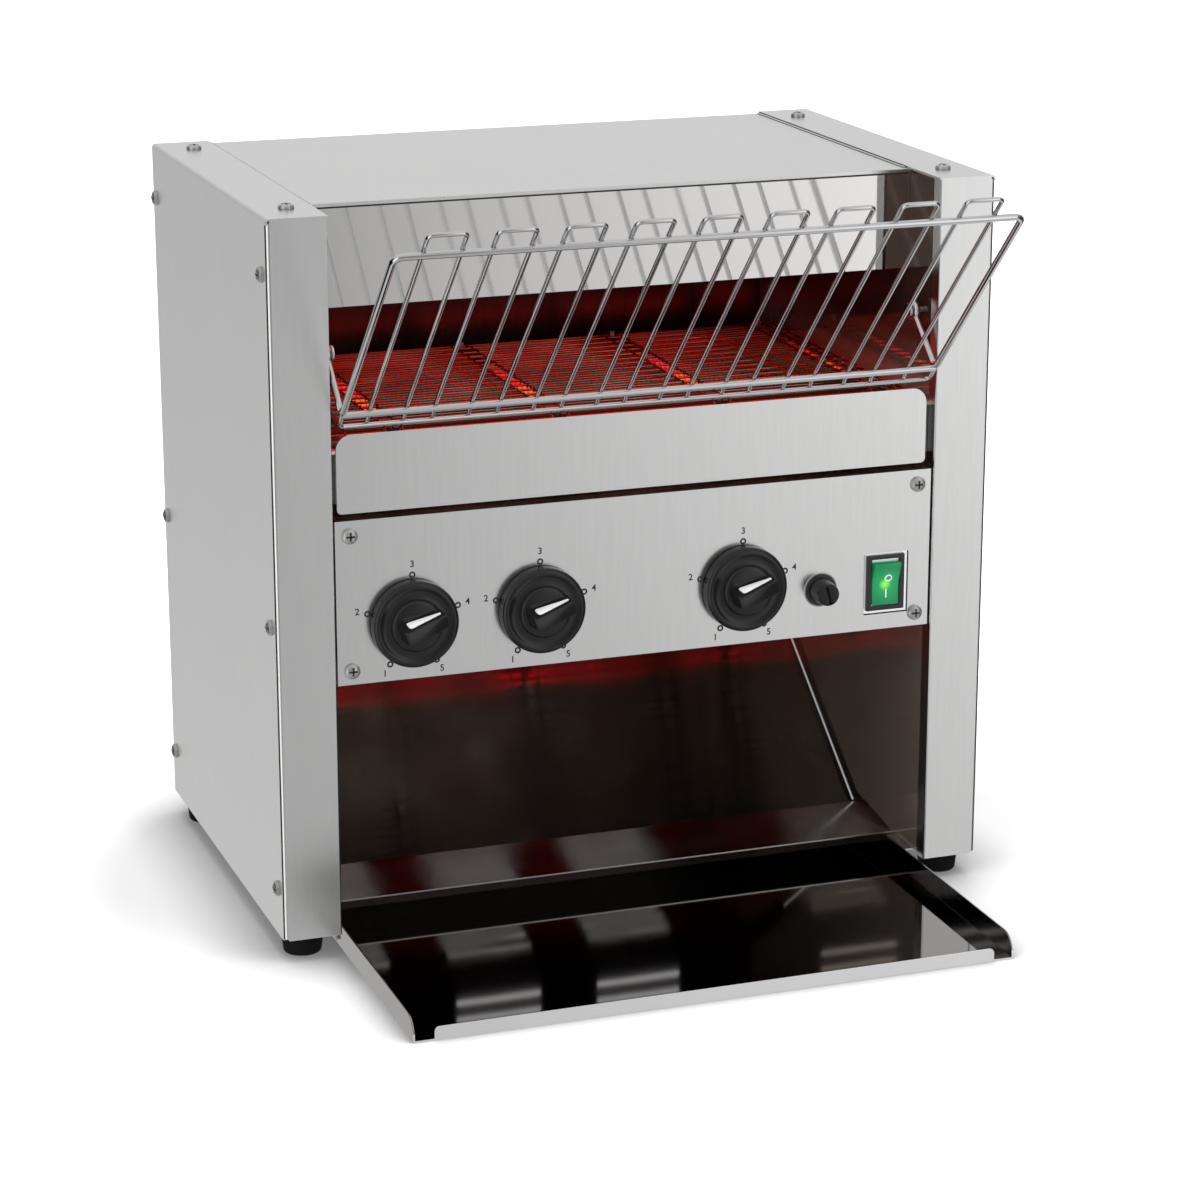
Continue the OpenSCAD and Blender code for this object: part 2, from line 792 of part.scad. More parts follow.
// Flanged bronze bushes in the inner walls
module shaft_bushes() {
    color("peru") casing()
        for (s = [-1, 1])
            for (y = [shaft_y, rear_shaft_y])
                mirrored(s) difference() {
                    union() {
                        translate([inner_x - 1.5, y, shaft_z]) rotate([0, 90, 0])
                            cylinder(h = bush_len, d = bush_dia);
                        translate([wall_x, y, shaft_z]) rotate([0, 90, 0])
                            cylinder(h = 2, d = bush_flange_dia);
                    }
                    x_cyl([wall_x, y, shaft_z], 3 * bush_len, shaft_dia + 2 * running_fit);
                }
}

// Toothed wheel with a hub, bored for its shaft, in the X-axis direction
module toothed_wheel(teeth, r_root, r_tip, half_root, half_tip, t, hub_dia, hub_len, bore, phase) {
    rotate([90, 0, 90]) difference() {
        union() {
            translate([0, 0, -t / 2]) linear_extrude(t) {
                circle(r = r_root);
                for (i = [0 : teeth - 1])
                    rotate([0, 0, phase + i * 360 / teeth])
                        polygon([[r_root - 2, -half_root], [r_tip, -half_tip],
                                 [r_tip, half_tip], [r_root - 2, half_root]]);
            }
            translate([0, 0, -hub_len / 2]) cylinder(h = hub_len, d = hub_dia);
        }
        translate([0, 0, -hub_len]) cylinder(h = 2 * hub_len, d = bore);
    }
}

module belt_sprockets(y, phase) {
    for (i = [0 : sprocket_count - 1])
        translate([sprocket_shift + (i - (sprocket_count - 1) / 2) * sprocket_step, y, shaft_z])
            toothed_wheel(belt_teeth, belt_r - belt_wire / 2 - 0.3, belt_r + tooth_rise, 3, 1.3,
                          sprocket_t, shaft_dia + 9, 8, shaft_dia + 2 * snug_gap, phase);
}

module front_sprockets() {
    color("dimgray") casing() belt_sprockets(shaft_y, front_phase);
}

module rear_sprockets() {
    color("dimgray") casing() belt_sprockets(rear_shaft_y, rear_phase);
}

// Wire belt: rods across, joined by short links
module wire_belt() {
    lanes = concat(
        [-belt_w / 2 + belt_wire / 2, belt_w / 2 - belt_wire / 2],
        [for (i = [0 : sprocket_count - 1])
            sprocket_shift + (i - (sprocket_count - 1) / 2) * sprocket_step + lane_out]
    );
    p = [for (i = [0 : belt_rods]) loop_point((i % belt_rods) * belt_pitch, belt_c, belt_r)];
    color("darkgray") casing() translate([0, shaft_y, shaft_z])
        for (i = [0 : belt_rods - 1]) {
            x_cyl([0, p[i][0], p[i][1]], belt_w, belt_wire, $fn = 16);
            for (x = lanes)
                wire([x, p[i][0], p[i][1]], [x, p[i + 1][0], p[i + 1][1]], belt_wire * 0.8);
        }
}

// Rails on the inner walls under the belt's upper run
module belt_rails() {
    color("silver") casing()
        for (s = [-1, 1]) mirrored(s) {
            block([belt_w / 2 - 8, shaft_y + belt_r + 4, rail_z - sheet_t],
                  [inner_x, rear_shaft_y - belt_r - 4, rail_z]);
            block([inner_x - sheet_t, shaft_y + belt_r + 4, rail_z - 5],
                  [inner_x, rear_shaft_y - belt_r - 4, rail_z]);
        }
}

// Gear motor on the right inner wall, inside the control box
module gear_motor() {
    face = inner_x - sheet_t;
    color("slategray") casing() translate([0, motor_y, motor_z]) difference() {
        union() {
            block([face - gearbox_len, -motor_dia / 2, -motor_dia / 2], [face, motor_dia / 2, motor_dia / 2]);
            translate([face - gearbox_len - motor_len, 0, 0]) rotate([0, 90, 0])
                cylinder(h = motor_len + sliver, d = motor_dia - 4);
            translate([face - gearbox_len - motor_len - 5, 0, 0]) rotate([0, 90, 0])
                cylinder(h = 6, d = motor_shaft_dia * 2);
        }
        x_cyl([face, 0, 0], 2 * gearbox_len - 8, motor_shaft_dia + 2 * running_fit);
    }
}

module chain_wheel(bore, phase) {
    toothed_wheel(chain_teeth, chain_r - chain_roller_dia / 2 - 0.2, chain_r + 1.2, 1.5, 0.6,
                  chain_sprocket_t, bore + 5, 8, bore, phase);
}

// Motor's output shaft with its sprocket
module motor_sprocket() {
    color("dimgray") casing() {
        translate([drive_x, motor_y, motor_z]) chain_wheel(motor_shaft_dia - 1, chain_phase);
        translate([inner_x - sheet_t - gearbox_len / 2, motor_y, motor_z]) rotate([0, 90, 0])
            cylinder(h = drive_x + 5 - inner_x + sheet_t + gearbox_len / 2, d = motor_shaft_dia);
    }
}

module drive_sprocket() {
    color("dimgray") casing() translate([drive_x, shaft_y, shaft_z]) chain_wheel(shaft_dia + 2 * snug_gap, chain_phase);
}

// Roller chain: rollers, inner and outer plates in turn
module drive_chain() {
    p = [for (i = [0 : chain_links]) loop_point((i % chain_links) * chain_pitch, chain_c, chain_r)];
    color("gray") casing() translate([drive_x, shaft_y, shaft_z]) rotate([chain_angle, 0, 0])
        for (i = [0 : chain_links - 1]) {
            out = chain_inner_x + (i % 2) * (chain_plate_t + 0.1);
            x_cyl([0, p[i][0], p[i][1]], 2 * (chain_inner_x + 2 * chain_plate_t) + 0.6, chain_roller_dia, $fn = 16);
            for (s = [-1, 1])
                translate([s * (out + chain_plate_t / 2), 0, 0]) chain_plate(p[i], p[i + 1]);
        }
}

module chain_plate(a, b) {
    v = [b[0] - a[0], b[1] - a[1]];
    translate([-chain_plate_t / 2, a[0], a[1]]) rotate([90, 0, 90]) rotate([0, 0, atan2(v[1], v[0])])
        linear_extrude(chain_plate_t) {
            circle(d = chain_plate_h, $fn = 24);
            translate([norm(v), 0]) circle(d = chain_plate_h, $fn = 24);
            translate([0, -chain_plate_h * 0.35]) square([norm(v), chain_plate_h * 0.7]);
        }
}

// Places of the quartz elements
module upper_places() {
    for (i = [0 : element_count - 1]) translate([0, upper_y0 + i * upper_pitch, upper_z]) children();
}

module lower_places() {
    for (i = [0 : element_count - 1]) translate([0, lower_y0 + i * lower_pitch, shaft_z]) children();
}

module element_places() {
    upper_places() children();
    lower_places() children();
}

module quartz_tube() {
    x_cyl([0, 0, 0], 2 * element_end, element_dia);
}

module upper_elements() {
    color("orangered") casing() upper_places() quartz_tube();
}

module lower_elements() {
    color("orangered") casing() lower_places() quartz_tube();
}

module element_end_caps() {
    color("ivory") casing() element_places()
        for (s = [-1, 1]) mirrored(s) difference() {
            translate([wall_x, 0, 0]) rotate([0, 90, 0]) cylinder(h = cap_len, d = cap_dia);
            translate([wall_x - 1, 0, 0]) rotate([0, 90, 0])
                cylinder(h = element_end - wall_x + 1 + cap_wall_gap, d = element_dia + 2 * cap_wall_gap);
        }
}

// Reflector over the upper elements, with a rear flange
module upper_reflector() {
    y1 = back_in - reflector_gap;
    color("silver") casing() {
        block([-inner_x, top_setback + sheet_t, reflector_z], [inner_x, y1, reflector_z + sheet_t]);
        block([-inner_x, y1 - sheet_t, reflector_z - reflector_skirt], [inner_x, y1, reflector_z + sheet_t]);
    }
}

// Reflector pan under the lower elements, inside the belt's loop, fixed by its turned-down sides
module lower_reflector() {
    wheel_gap = 2.2;
    z = shaft_z - belt_r + belt_wire / 2 + wheel_gap;
    y0 = shaft_y + belt_r + tooth_rise + wheel_gap;
    y1 = rear_shaft_y - belt_r - tooth_rise - wheel_gap;
    lip_h = 8;
    color("silver") casing() {
        block([-inner_x, y0, z], [inner_x, y1, z + sheet_t]);
        for (y = [y0, y1 - sheet_t])
            block([-inner_x + 2, y, z], [inner_x - 2, y + sheet_t, z + lip_h]);
        for (s = [-1, 1]) mirrored(s)
            block([inner_x - sheet_t, y0, z - lip_h], [inner_x, y1, z + sheet_t]);
    }
}

// Wire guard that keeps bread off the upper elements
module element_guard() {
    y0 = top_setback + 14;
    y1 = back_in - 26;
    rods = 5;
    bars = 9;
    x1 = inner_x - 0.1;
    color("darkgray") casing() {
        for (i = [0 : rods - 1]) {
            y = y0 + (y1 - y0) * i / (rods - 1);
            x_cyl([0, y, guard_rod_z], 2 * x1, guard_rod_dia, $fn = 16);
        }
        for (i = [0 : bars - 1]) {
            x = -x1 + 14 + (2 * x1 - 28) * i / (bars - 1);
            wire([x, y0 - 4, guard_rod_z + guard_rod_dia * 0.7], [x, y1 + 4, guard_rod_z + guard_rod_dia * 0.7], 1.8);
        }
    }
}

// Ceramic blanket between the reflector and the top panel
module top_insulation() {
    color("white") casing()
        block([-inner_x + 1, top_setback + sheet_t + 1.8, reflector_z + sheet_t],
              [inner_x - 1, back_in - reflector_gap - 2, wall_top - slide_gap]);
}

// Energy regulator behind the panel, with its threaded bush through it
module regulator(p, w, d) {
    casing() translate([p[0], 0, p[1]]) difference() {
        union() {
            block([-w / 2, box_front, -w / 2], [w / 2, box_front + d, w / 2]);
            y_cyl([0, panel_setback - 0.4, 0], sheet_t + 1, spindle_bush_dia);
            block([-3, box_front + d - sliver, -8], [3, box_front + d + 6, 8]);
        }
        y_cyl([0, 0, 0], box_front + spindle_in + slide_gap, spindle_dia + 2 * running_fit);
    }
}

module bottom_regulator() {
    color("beige") regulator(bottom_knob_pos, regulator_w, regulator_d);
}

module top_regulator() {
    color("beige") regulator(top_knob_pos, regulator_w, regulator_d);
}

module speed_controller() {
    pot_d = 14.4;
    board_y = box_front + pot_d + 5;
    board_t = 1.6;
    board_half_h = 26;
    color("seagreen") {
        regulator(speed_knob_pos, regulator_w, pot_d);
        casing() translate([speed_knob_pos[0], 0, speed_knob_pos[1]])
            block([-30, board_y, -board_half_h], [22, board_y + board_t, board_half_h]);
    }
}

// Spindle from inside a regulator out into its knob
module spindle(p) {
    casing() y_cyl([p[0], knob_face - spindle_out, p[1]], box_front + spindle_in - knob_face + spindle_out,
                   spindle_dia);
}

module bottom_spindle() {
    color("silver") spindle(bottom_knob_pos);
}

module top_spindle() {
    color("silver") spindle(top_knob_pos);
}

module speed_spindle() {
    color("silver") spindle(speed_knob_pos);
}

// Places a knob's child: X along the grip to its nose, Z outwards from the skirt's back
module knob_place(p) {
    casing() translate([p[0], knob_face, p[1]]) rotate([90, 0, 0]) rotate([0, 0, knob_angle]) children();
}

// Extrudes an outline of the grip's side, from y downwards across the grip
module grip_side(y, t) {
    translate([0, y, 0]) rotate([90, 0, 0]) linear_extrude(t) children();
}

// Height of the grip's sloping face at a distance x from the knob's axis
function grip_top(x) =
    knob_skirt_h + knob_grip_h - (knob_grip_h - knob_nose_h) * (x + grip_back) / (grip_nose + grip_back);

// Knob: round skirt, low boss, grip with a slot for the pointer, blind spindle bore
module knob(p) {
    rim = knob_skirt_h - 0.8;
    knob_place(p) difference() {
        union() {
            rotate_extrude() {
                square([knob_dia / 2, knob_skirt_h - 3]);
                polygon([[0, 0], [knob_dia / 2, knob_skirt_h - 3], [knob_dia / 2 - 3, rim], [0, rim]]);
                square([boss_dia / 2, knob_skirt_h + boss_h]);
            }
            grip_side(grip_w / 2, grip_w)
                polygon([[-grip_back, 0], [grip_nose, 0], [grip_nose, grip_top(grip_nose)],
                         [-grip_back, grip_top(-grip_back)]]);
        }
        translate([0, 0, -1]) cylinder(h = spindle_out + slide_gap + 1, d = spindle_dia + 2 * snug_gap);
        grip_side(grip_w / 2 + 1, pointer_depth + 1) pointer_outline(0.1);
    }
}

// Outline of the wedge in the grip's upper side: wide at the back, narrow at the nose
module pointer_outline(grow) {
    low = knob_skirt_h + boss_h + 1.2;
    high = grip_top(-pointer_back) - pointer_edge;
    tip = (low + grip_top(pointer_tip) - pointer_edge) / 2;
    tip_half = 0.6 + grow;
    polygon([[-pointer_back - grow, low - grow], [pointer_tip + grow, tip - tip_half],
             [pointer_tip + grow, tip + tip_half], [-pointer_back - grow, high + grow]]);
}

module bottom_knob() {
    color("#202020") knob(bottom_knob_pos);
}

module top_knob() {
    color("#202020") knob(top_knob_pos);
}

module speed_knob() {
    color("#202020") knob(speed_knob_pos);
}

module pointer(p) {
    knob_place(p) grip_side(grip_w / 2 + pointer_proud, pointer_depth + pointer_proud) pointer_outline(0);
}

module bottom_pointer() {
    color("white") pointer(bottom_knob_pos);
}

module top_pointer() {
    color("white") pointer(top_knob_pos);
}

module speed_pointer() {
    color("white") pointer(speed_knob_pos);
}

// Fuse holder: ring in front of the panel, body behind it
module fuse_holder() {
    color("#303030") casing() translate([fuse_pos[0], 0, fuse_pos[1]]) difference() {
        union() {
            y_cyl([0, panel_setback - 1.5, 0], 1.5, fuse_cap_dia + 1.5);
            y_cyl([0, panel_setback - 0.5, 0], 32, fuse_body_dia);
            y_cyl([0, box_front, 0], 4, fuse_body_dia + 6);
        }
        y_cyl([0, panel_setback - 5, 0], 12, fuse_stem_dia + 2 * slide_gap);
    }
}

// Fuse holder's tapered cap with a coin slot and a stem into the body
module fuse_cap() {
    cap_h = 11.2;
    cap_y = panel_setback - 1.5 - slide_gap;
    slot_half = fuse_cap_dia / 2 - 2.5;
    color("#181818") casing() translate([fuse_pos[0], 0, fuse_pos[1]]) difference() {
        union() {
            translate([0, cap_y, 0]) rotate([90, 0, 0])
                cylinder(h = cap_h, d1 = fuse_cap_dia, d2 = fuse_cap_dia - 2.6);
            y_cyl([0, cap_y - 1, 0], 8, fuse_stem_dia);
        }
        rotate([0, fuse_slot_angle, 0])
            block([-0.7, cap_y - cap_h - 1, -slot_half], [0.7, cap_y - cap_h + 2, slot_half]);
    }
}

// Switch body: bezel in front of the panel, housing behind it, open window
module switch_body() {
    depth = 22;
    window_w = rocker_w + 2 * slide_gap + 0.2;
    window_h = 2 * (rocker_half + 1.2);
    color("#181818") casing() translate([switch_pos[0], 0, switch_pos[1]]) difference() {
        union() {
            block([-switch_w / 2, panel_setback - 2.4, -switch_h / 2], [switch_w / 2, panel_setback, switch_h / 2]);
            block([-switch_body_w / 2, panel_setback - sliver, -switch_body_h / 2],
                  [switch_body_w / 2, panel_setback + depth, switch_body_h / 2]);
        }
        block([-window_w / 2, -10, -window_h / 2], [window_w / 2, panel_setback + 10, window_h / 2]);
        x_cyl([0, rocker_pivot_y, 0], switch_body_w - 1.6, rocker_pin_dia + 2 * running_fit);
    }
}

// Rocker with its pin, tipped to its lit side
module switch_rocker() {
    tail = 7;
    color("limegreen") casing() translate([switch_pos[0], rocker_pivot_y, switch_pos[1]])
        rotate([rocker_tilt, 0, 0]) {
            across(-rocker_w / 2, rocker_w / 2)
                polygon([[-5.5, rocker_half], [-3.2, 0], [-5.5, -rocker_half],
                         [-0.5, -rocker_half], [tail, -4], [tail, 4], [-0.5, rocker_half]]);
            x_cyl([0, 0, 0], switch_body_w - 2, rocker_pin_dia);
        }
}

// Terminal block on the left inner wall's outside, in the wiring bay
module terminal_block() {
    base = [4, 60, 30];
    pole = [12, 10, 24];
    pole_step = 11.5;
    edge = [2, 3];
    y0 = rear_shaft_y - 36;
    color("ivory") casing() {
        block([-wall_x - base[0], y0, gland_z], [-wall_x, y0 + base[1], gland_z + base[2]]);
        for (i = [0 : 4]) {
            y = y0 + edge[0] + i * pole_step;
            block([-wall_x - base[0] - pole[0], y, gland_z + edge[1]],
                  [-wall_x - base[0] + sliver, y + pole[1], gland_z + edge[1] + pole[2]]);
        }
    }
}

// Cable gland in the back panel
module cable_gland() {
    nut_t = 5;
    color("#181818") casing() translate([gland_x, 0, gland_z]) difference() {
        union() {
            y_cyl([0, back_in - nut_t - 4, 0], nut_t + 8, gland_thread_dia);
            y_cyl([0, body_d, 0], nut_t + 1, gland_nut_dia, $fn = 6);
            y_cyl([0, body_d + nut_t, 0], gland_out - nut_t, gland_nut_dia - 5);
            y_cyl([0, back_in - nut_t, 0], nut_t, gland_nut_dia - 2, $fn = 6);
        }
        y_cyl([0, back_in - 20, 0], 60, gland_bore_dia);
    }
}

// Rubber feet, each held by a screw through the bottom flange
module feet_places() {
    for (s = [-1, 1])
        for (y = [20, body_d - 20])
            translate([s * (half_w - foot_inset), y, 0]) children();
}

module feet() {
    color("#151515") casing() feet_places() translate([0, 0, -foot_h]) {
        cylinder(h = foot_h, r1 = foot_dia / 2 - 1.5, r2 = foot_dia / 2);
        translate([0, 0, foot_h - sliver]) cylinder(h = sheet_t + 3, d = screw_dia);
    }
}

// Fasteners
module left_side_screws() {
    color("silver") casing() side_places(-1) pan_screw();
}

module right_side_screws() {
    color("silver") casing() side_places(1) pan_screw();
}

module top_screws() {
    color("silver") casing() top_places() pan_screw();
}

module panel_screws() {
    color("silver") casing() panel_places() pan_screw();
}

module back_screws() {
    color("silver") casing() back_places() pan_screw();
}

left_side_panel();
right_side_panel();
left_inner_wall();
right_inner_wall();
left_front_post();
right_front_post();
top_panel();
front_apron();
back_panel();
control_panel();
guard_plate();
control_box();
chute();
tray();
tray_runners();
feed_rack();
rack_pivot_studs();
front_shaft();
rear_shaft();
shaft_bushes();
front_sprockets();
rear_sprockets();
wire_belt();
belt_rails();
gear_motor();
motor_sprocket();
drive_sprocket();
drive_chain();
upper_elements();
lower_elements();
element_end_caps();
upper_reflector();
lower_reflector();
element_guard();
top_insulation();
bottom_regulator();
top_regulator();
speed_controller();
bottom_spindle();
top_spindle();
speed_spindle();
bottom_knob();
top_knob();
speed_knob();
bottom_pointer();
top_pointer();
speed_pointer();
fuse_holder();
fuse_cap();
switch_body();
switch_rocker();
terminal_block();
cable_gland();
feet();
left_side_screws();
right_side_screws();
top_screws();
panel_screws();
back_screws();
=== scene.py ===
"""Looks of the conveyor toaster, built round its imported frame.

Every piece is modelled in the row frame, in metres. Sizes that are given in
millimetres are in the casing's own frame: x to the right, y from the pillars'
front to the back, z up from the casing's bottom.
"""

import json
import math

import bpy
from bpy.props import FloatProperty, IntProperty, PointerProperty
from mathutils import Matrix, Vector

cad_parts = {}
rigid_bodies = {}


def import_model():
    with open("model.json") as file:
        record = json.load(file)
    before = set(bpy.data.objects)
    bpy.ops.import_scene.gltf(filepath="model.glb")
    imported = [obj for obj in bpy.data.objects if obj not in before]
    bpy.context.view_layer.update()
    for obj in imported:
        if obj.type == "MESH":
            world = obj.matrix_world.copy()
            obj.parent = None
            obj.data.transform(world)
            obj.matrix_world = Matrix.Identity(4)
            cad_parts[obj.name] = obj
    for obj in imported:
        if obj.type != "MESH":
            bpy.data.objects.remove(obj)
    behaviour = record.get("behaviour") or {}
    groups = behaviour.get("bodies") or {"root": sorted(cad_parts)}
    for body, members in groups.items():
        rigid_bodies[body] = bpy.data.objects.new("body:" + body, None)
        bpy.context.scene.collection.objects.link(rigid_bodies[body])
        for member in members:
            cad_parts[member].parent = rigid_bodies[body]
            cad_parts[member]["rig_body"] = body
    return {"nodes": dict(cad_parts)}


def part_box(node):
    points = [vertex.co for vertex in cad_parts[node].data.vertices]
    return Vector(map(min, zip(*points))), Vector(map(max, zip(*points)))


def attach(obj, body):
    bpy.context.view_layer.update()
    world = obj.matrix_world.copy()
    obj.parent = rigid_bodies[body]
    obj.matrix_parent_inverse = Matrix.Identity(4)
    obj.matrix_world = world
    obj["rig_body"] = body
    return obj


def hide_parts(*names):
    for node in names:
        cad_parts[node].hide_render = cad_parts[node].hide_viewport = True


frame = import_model()

bl_info = {
    "name": "Conveyor toaster",
    "version": (1, 0, 0),
    "blender": (4, 5, 0),
    "location": "3D View > Sidebar > Toaster",
    "description": "Builds the looks of a conveyor toaster round its packed frame",
    "category": "Object",
}

MM = 0.001
ORIGIN = Vector((0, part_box("left_side_panel")[0].y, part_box("left_side_panel")[0].z))
QUARTER = math.pi / 2

# Places in the casing's frame, in millimetres
HALF_WIDTH = 215.5                  # outside of the side panels
FOLD_X = 181.5                      # inner edges of the front pillars
CASING_H = 414
APRON_Y = 45                        # front apron, under the top panel's front edge
PANEL_Y = 1.5                       # face of the control panel
SWITCH_X, SWITCH_Z = 152, 177
FUSE_X, FUSE_Z = 111.4, 176
DIALS = {"bottom": (-136.3, 181.5), "top": (-61, 182), "speed": (62.5, 182.5)}
FOOT_X, FOOT_Y, FOOT_H = (-200, 200), (20, 255), 14
SIDE_SCREW_Y, SIDE_SCREW_Z = (12, 268), (28.5, 183, 382)
TOP_SCREW_X, TOP_SCREW_Y = 196, (30, 247)
PANEL_SCREW_X, PANEL_SCREW_Z = 172, (156.2, 234.3)
CHUTE_SLOPE = 36.5                  # in degrees

# What several finishes share
SATIN = (0.76, 0.76, 0.755)         # colour of the brushed panels
SHEEN = "Specular IOR Level"
RANGE = ("From Min", "From Max", "To Min", "To Max")


# ---------------------------------------------------------------- small helpers

def casing(x, y, z):
    """A point of the casing's frame, in millimetres, as a point of the row frame, in metres."""
    return ORIGIN + Vector((x, y, z)) * MM


def deselect():
    """Leaves nothing selected, in object mode."""
    if bpy.context.object and bpy.context.object.mode != "OBJECT":
        bpy.ops.object.mode_set(mode="OBJECT")
    bpy.ops.object.select_all(action="DESELECT")


def pick(obj):
    """Makes obj the only selected and the active object."""
    deselect()
    obj.select_set(True)
    bpy.context.view_layer.objects.active = obj


def pick_faces(obj, test):
    """Selects the faces of obj for which test(face) holds and enters edit mode on faces."""
    pick(obj)
    bpy.ops.object.mode_set(mode="EDIT")
    bpy.ops.mesh.select_mode(type="FACE")
    bpy.ops.mesh.select_all(action="DESELECT")
    bpy.ops.object.mode_set(mode="OBJECT")
    for face in obj.data.polygons:
        face.select = test(face)
    bpy.ops.object.mode_set(mode="EDIT")


def pick_edges(obj, test):
    """Selects the edges of obj for which test(end, end) holds and enters edit mode on edges."""
    pick(obj)
    bpy.ops.object.mode_set(mode="EDIT")
    bpy.ops.mesh.select_mode(type="EDGE")
    bpy.ops.mesh.select_all(action="DESELECT")
    bpy.ops.object.mode_set(mode="OBJECT")
    for edge in obj.data.edges:
        a, b = (obj.data.vertices[i].co for i in edge.vertices)
        edge.select = test(a, b)
    bpy.ops.object.mode_set(mode="EDIT")


def cleaned(obj):
    """Merges doubles, turns the normals outwards and joins the triangles of flat faces."""
    pick(obj)
    bpy.ops.object.mode_set(mode="EDIT")
    bpy.ops.mesh.select_all(action="SELECT")
    bpy.ops.mesh.remove_doubles(threshold=2e-6)
    bpy.ops.mesh.dissolve_limited(angle_limit=math.radians(0.3))
    bpy.ops.mesh.normals_make_consistent(inside=False)
    bpy.ops.object.mode_set(mode="OBJECT")
    return obj


def rounded(obj, width, segments=2, angle=32):
    """Bevels the sharp edges of obj; width in millimetres."""
    pick(obj)
    bevel = obj.modifiers.new("edges", "BEVEL")
    bevel.width = width * MM
    bevel.segments = segments
    bevel.limit_method = "ANGLE"
    bevel.angle_limit = math.radians(angle)
    bevel.use_clamp_overlap = False
    bpy.ops.object.modifier_apply(modifier=bevel.name)
    return obj


def smoothed(obj, angle=35):
    """Shades obj smooth up to an angle between faces."""
    pick(obj)
    bpy.ops.object.shade_smooth_by_angle(angle=math.radians(angle))
    return obj


def faired(obj):
    """Shades obj smooth, with flat faces that stay flat beside their rounded edges."""
    smoothed(obj)
    fair = obj.modifiers.new("fair", "WEIGHTED_NORMAL")
    fair.keep_sharp = True
    fair.weight = 100
    bpy.ops.object.modifier_apply(modifier=fair.name)
    return obj


def joined(objs, name):
    """Joins objects into one, at the origin, with its own mesh."""
    deselect()
    for obj in objs:
        obj.select_set(True)
    bpy.context.view_layer.objects.active = objs[0]
    bpy.ops.object.join()
    bpy.ops.object.transform_apply(location=True, rotation=True, scale=True)
    objs[0].name = name
    objs[0].data.name = name
    return objs[0]


def moved(obj, matrix):
    """Puts obj, modelled about the origin, in its place and leaves its transform at identity."""
    obj.matrix_world = matrix
    pick(obj)
    bpy.ops.object.transform_apply(location=True, rotation=True, scale=True)
    return obj


def twin(obj, matrix):
    """A copy of obj with its own mesh, moved by matrix."""
    copy = obj.copy()
    copy.data = obj.data.copy()
    bpy.context.collection.objects.link(copy)
    return moved(copy, matrix @ obj.matrix_world)


def finish(obj, slot, material=None):
    """Gives obj the finish of a slot, or another material under that slot's name."""
    obj.data.materials.clear()
    obj.data.materials.append(bpy.data.materials[material or slot])


def finished(obj, name, body, slot, *replaced, material=None):
    """Names a piece, gives it the finish of a slot and lets it ride on its body."""
    obj.name = name
    obj.data.name = name
    finish(obj, slot, material)
    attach(obj, body)
    if replaced:
        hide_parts(*replaced)
    return obj


def node_copy(node):
    """A clean copy of a CAD node's mesh, as a piece of its own."""
    mesh = frame["nodes"][node].data.copy()
    copy = bpy.data.objects.new(node + "_shape", mesh)
    bpy.context.collection.objects.link(copy)
    pick(copy)
    mesh.materials.clear()
    return cleaned(copy)


def body_of_node(node):
    """The CAD body that a node belongs to."""
    return frame["nodes"][node]["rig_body"]


def box(low, high):
    """A block between two corners, in millimetres about the origin."""
    low, high = Vector(low) * MM, Vector(high) * MM
    deselect()
    bpy.ops.mesh.primitive_cube_add(size=1, location=(low + high) / 2)
    bpy.context.object.scale = high - low
    bpy.ops.object.transform_apply(location=True, rotation=False, scale=True)
    return bpy.context.object


def turned(profile, sides=48):
    """A turned piece about Z from (radius, height) pairs in millimetres, its ends closed."""
    deselect()
    radius, height = profile[0]
    bpy.ops.mesh.primitive_circle_add(
        vertices=sides, radius=radius * MM, fill_type="NGON",
        location=(0, 0, height * MM), enter_editmode=True)
    for wide, high in profile[1:]:
        bpy.ops.mesh.extrude_region_move(
            TRANSFORM_OT_translate={"value": (0, 0, (high - height) * MM)})
        share = wide / radius
        bpy.ops.transform.resize(value=(share, share, 1), center_override=(0, 0, high * MM))
        radius, height = wide, high
    bpy.ops.mesh.select_all(action="SELECT")
    bpy.ops.mesh.remove_doubles(threshold=1e-6)
    bpy.ops.mesh.normals_make_consistent(inside=False)
    bpy.ops.object.mode_set(mode="OBJECT")
    bpy.ops.object.transform_apply(location=True, rotation=True, scale=True)
    return bpy.context.object


def wire(corners, dia, bend, sides=12):
    """A round wire through points of the casing's frame; diameter and bend radius in millimetres."""
    points = [casing(*c) for c in corners]
    first = (points[1] - points[0]).normalized()
    deselect()
    bpy.ops.mesh.primitive_circle_add(
        vertices=sides, radius=dia / 2 * MM, fill_type="NGON", location=points[0],
        rotation=first.to_track_quat("Z", "Y").to_euler(), enter_editmode=True)
    here = points[0]
    for before, corner, after in zip(points, points[1:], points[2:]):
        into, out = (corner - before).normalized(), (after - corner).normalized()
        turn = into.angle(out)
        axis = into.cross(out).normalized()
        trim = bend * MM * math.tan(turn / 2)
        start = corner - into * trim
        bpy.ops.mesh.extrude_region_move(TRANSFORM_OT_translate={"value": start - here})
        bpy.ops.mesh.spin(
            steps=5, angle=-turn, center=start + axis.cross(into) * bend * MM, axis=axis)
        here = corner + out * trim
    bpy.ops.mesh.extrude_region_move(TRANSFORM_OT_translate={"value": points[-1] - here})
    bpy.ops.mesh.select_all(action="SELECT")
    bpy.ops.mesh.remove_doubles(threshold=1e-6)
    bpy.ops.mesh.normals_make_consistent(inside=False)
    bpy.ops.object.mode_set(mode="OBJECT")
    bpy.ops.object.transform_apply(location=True, rotation=True, scale=True)
    return bpy.context.object


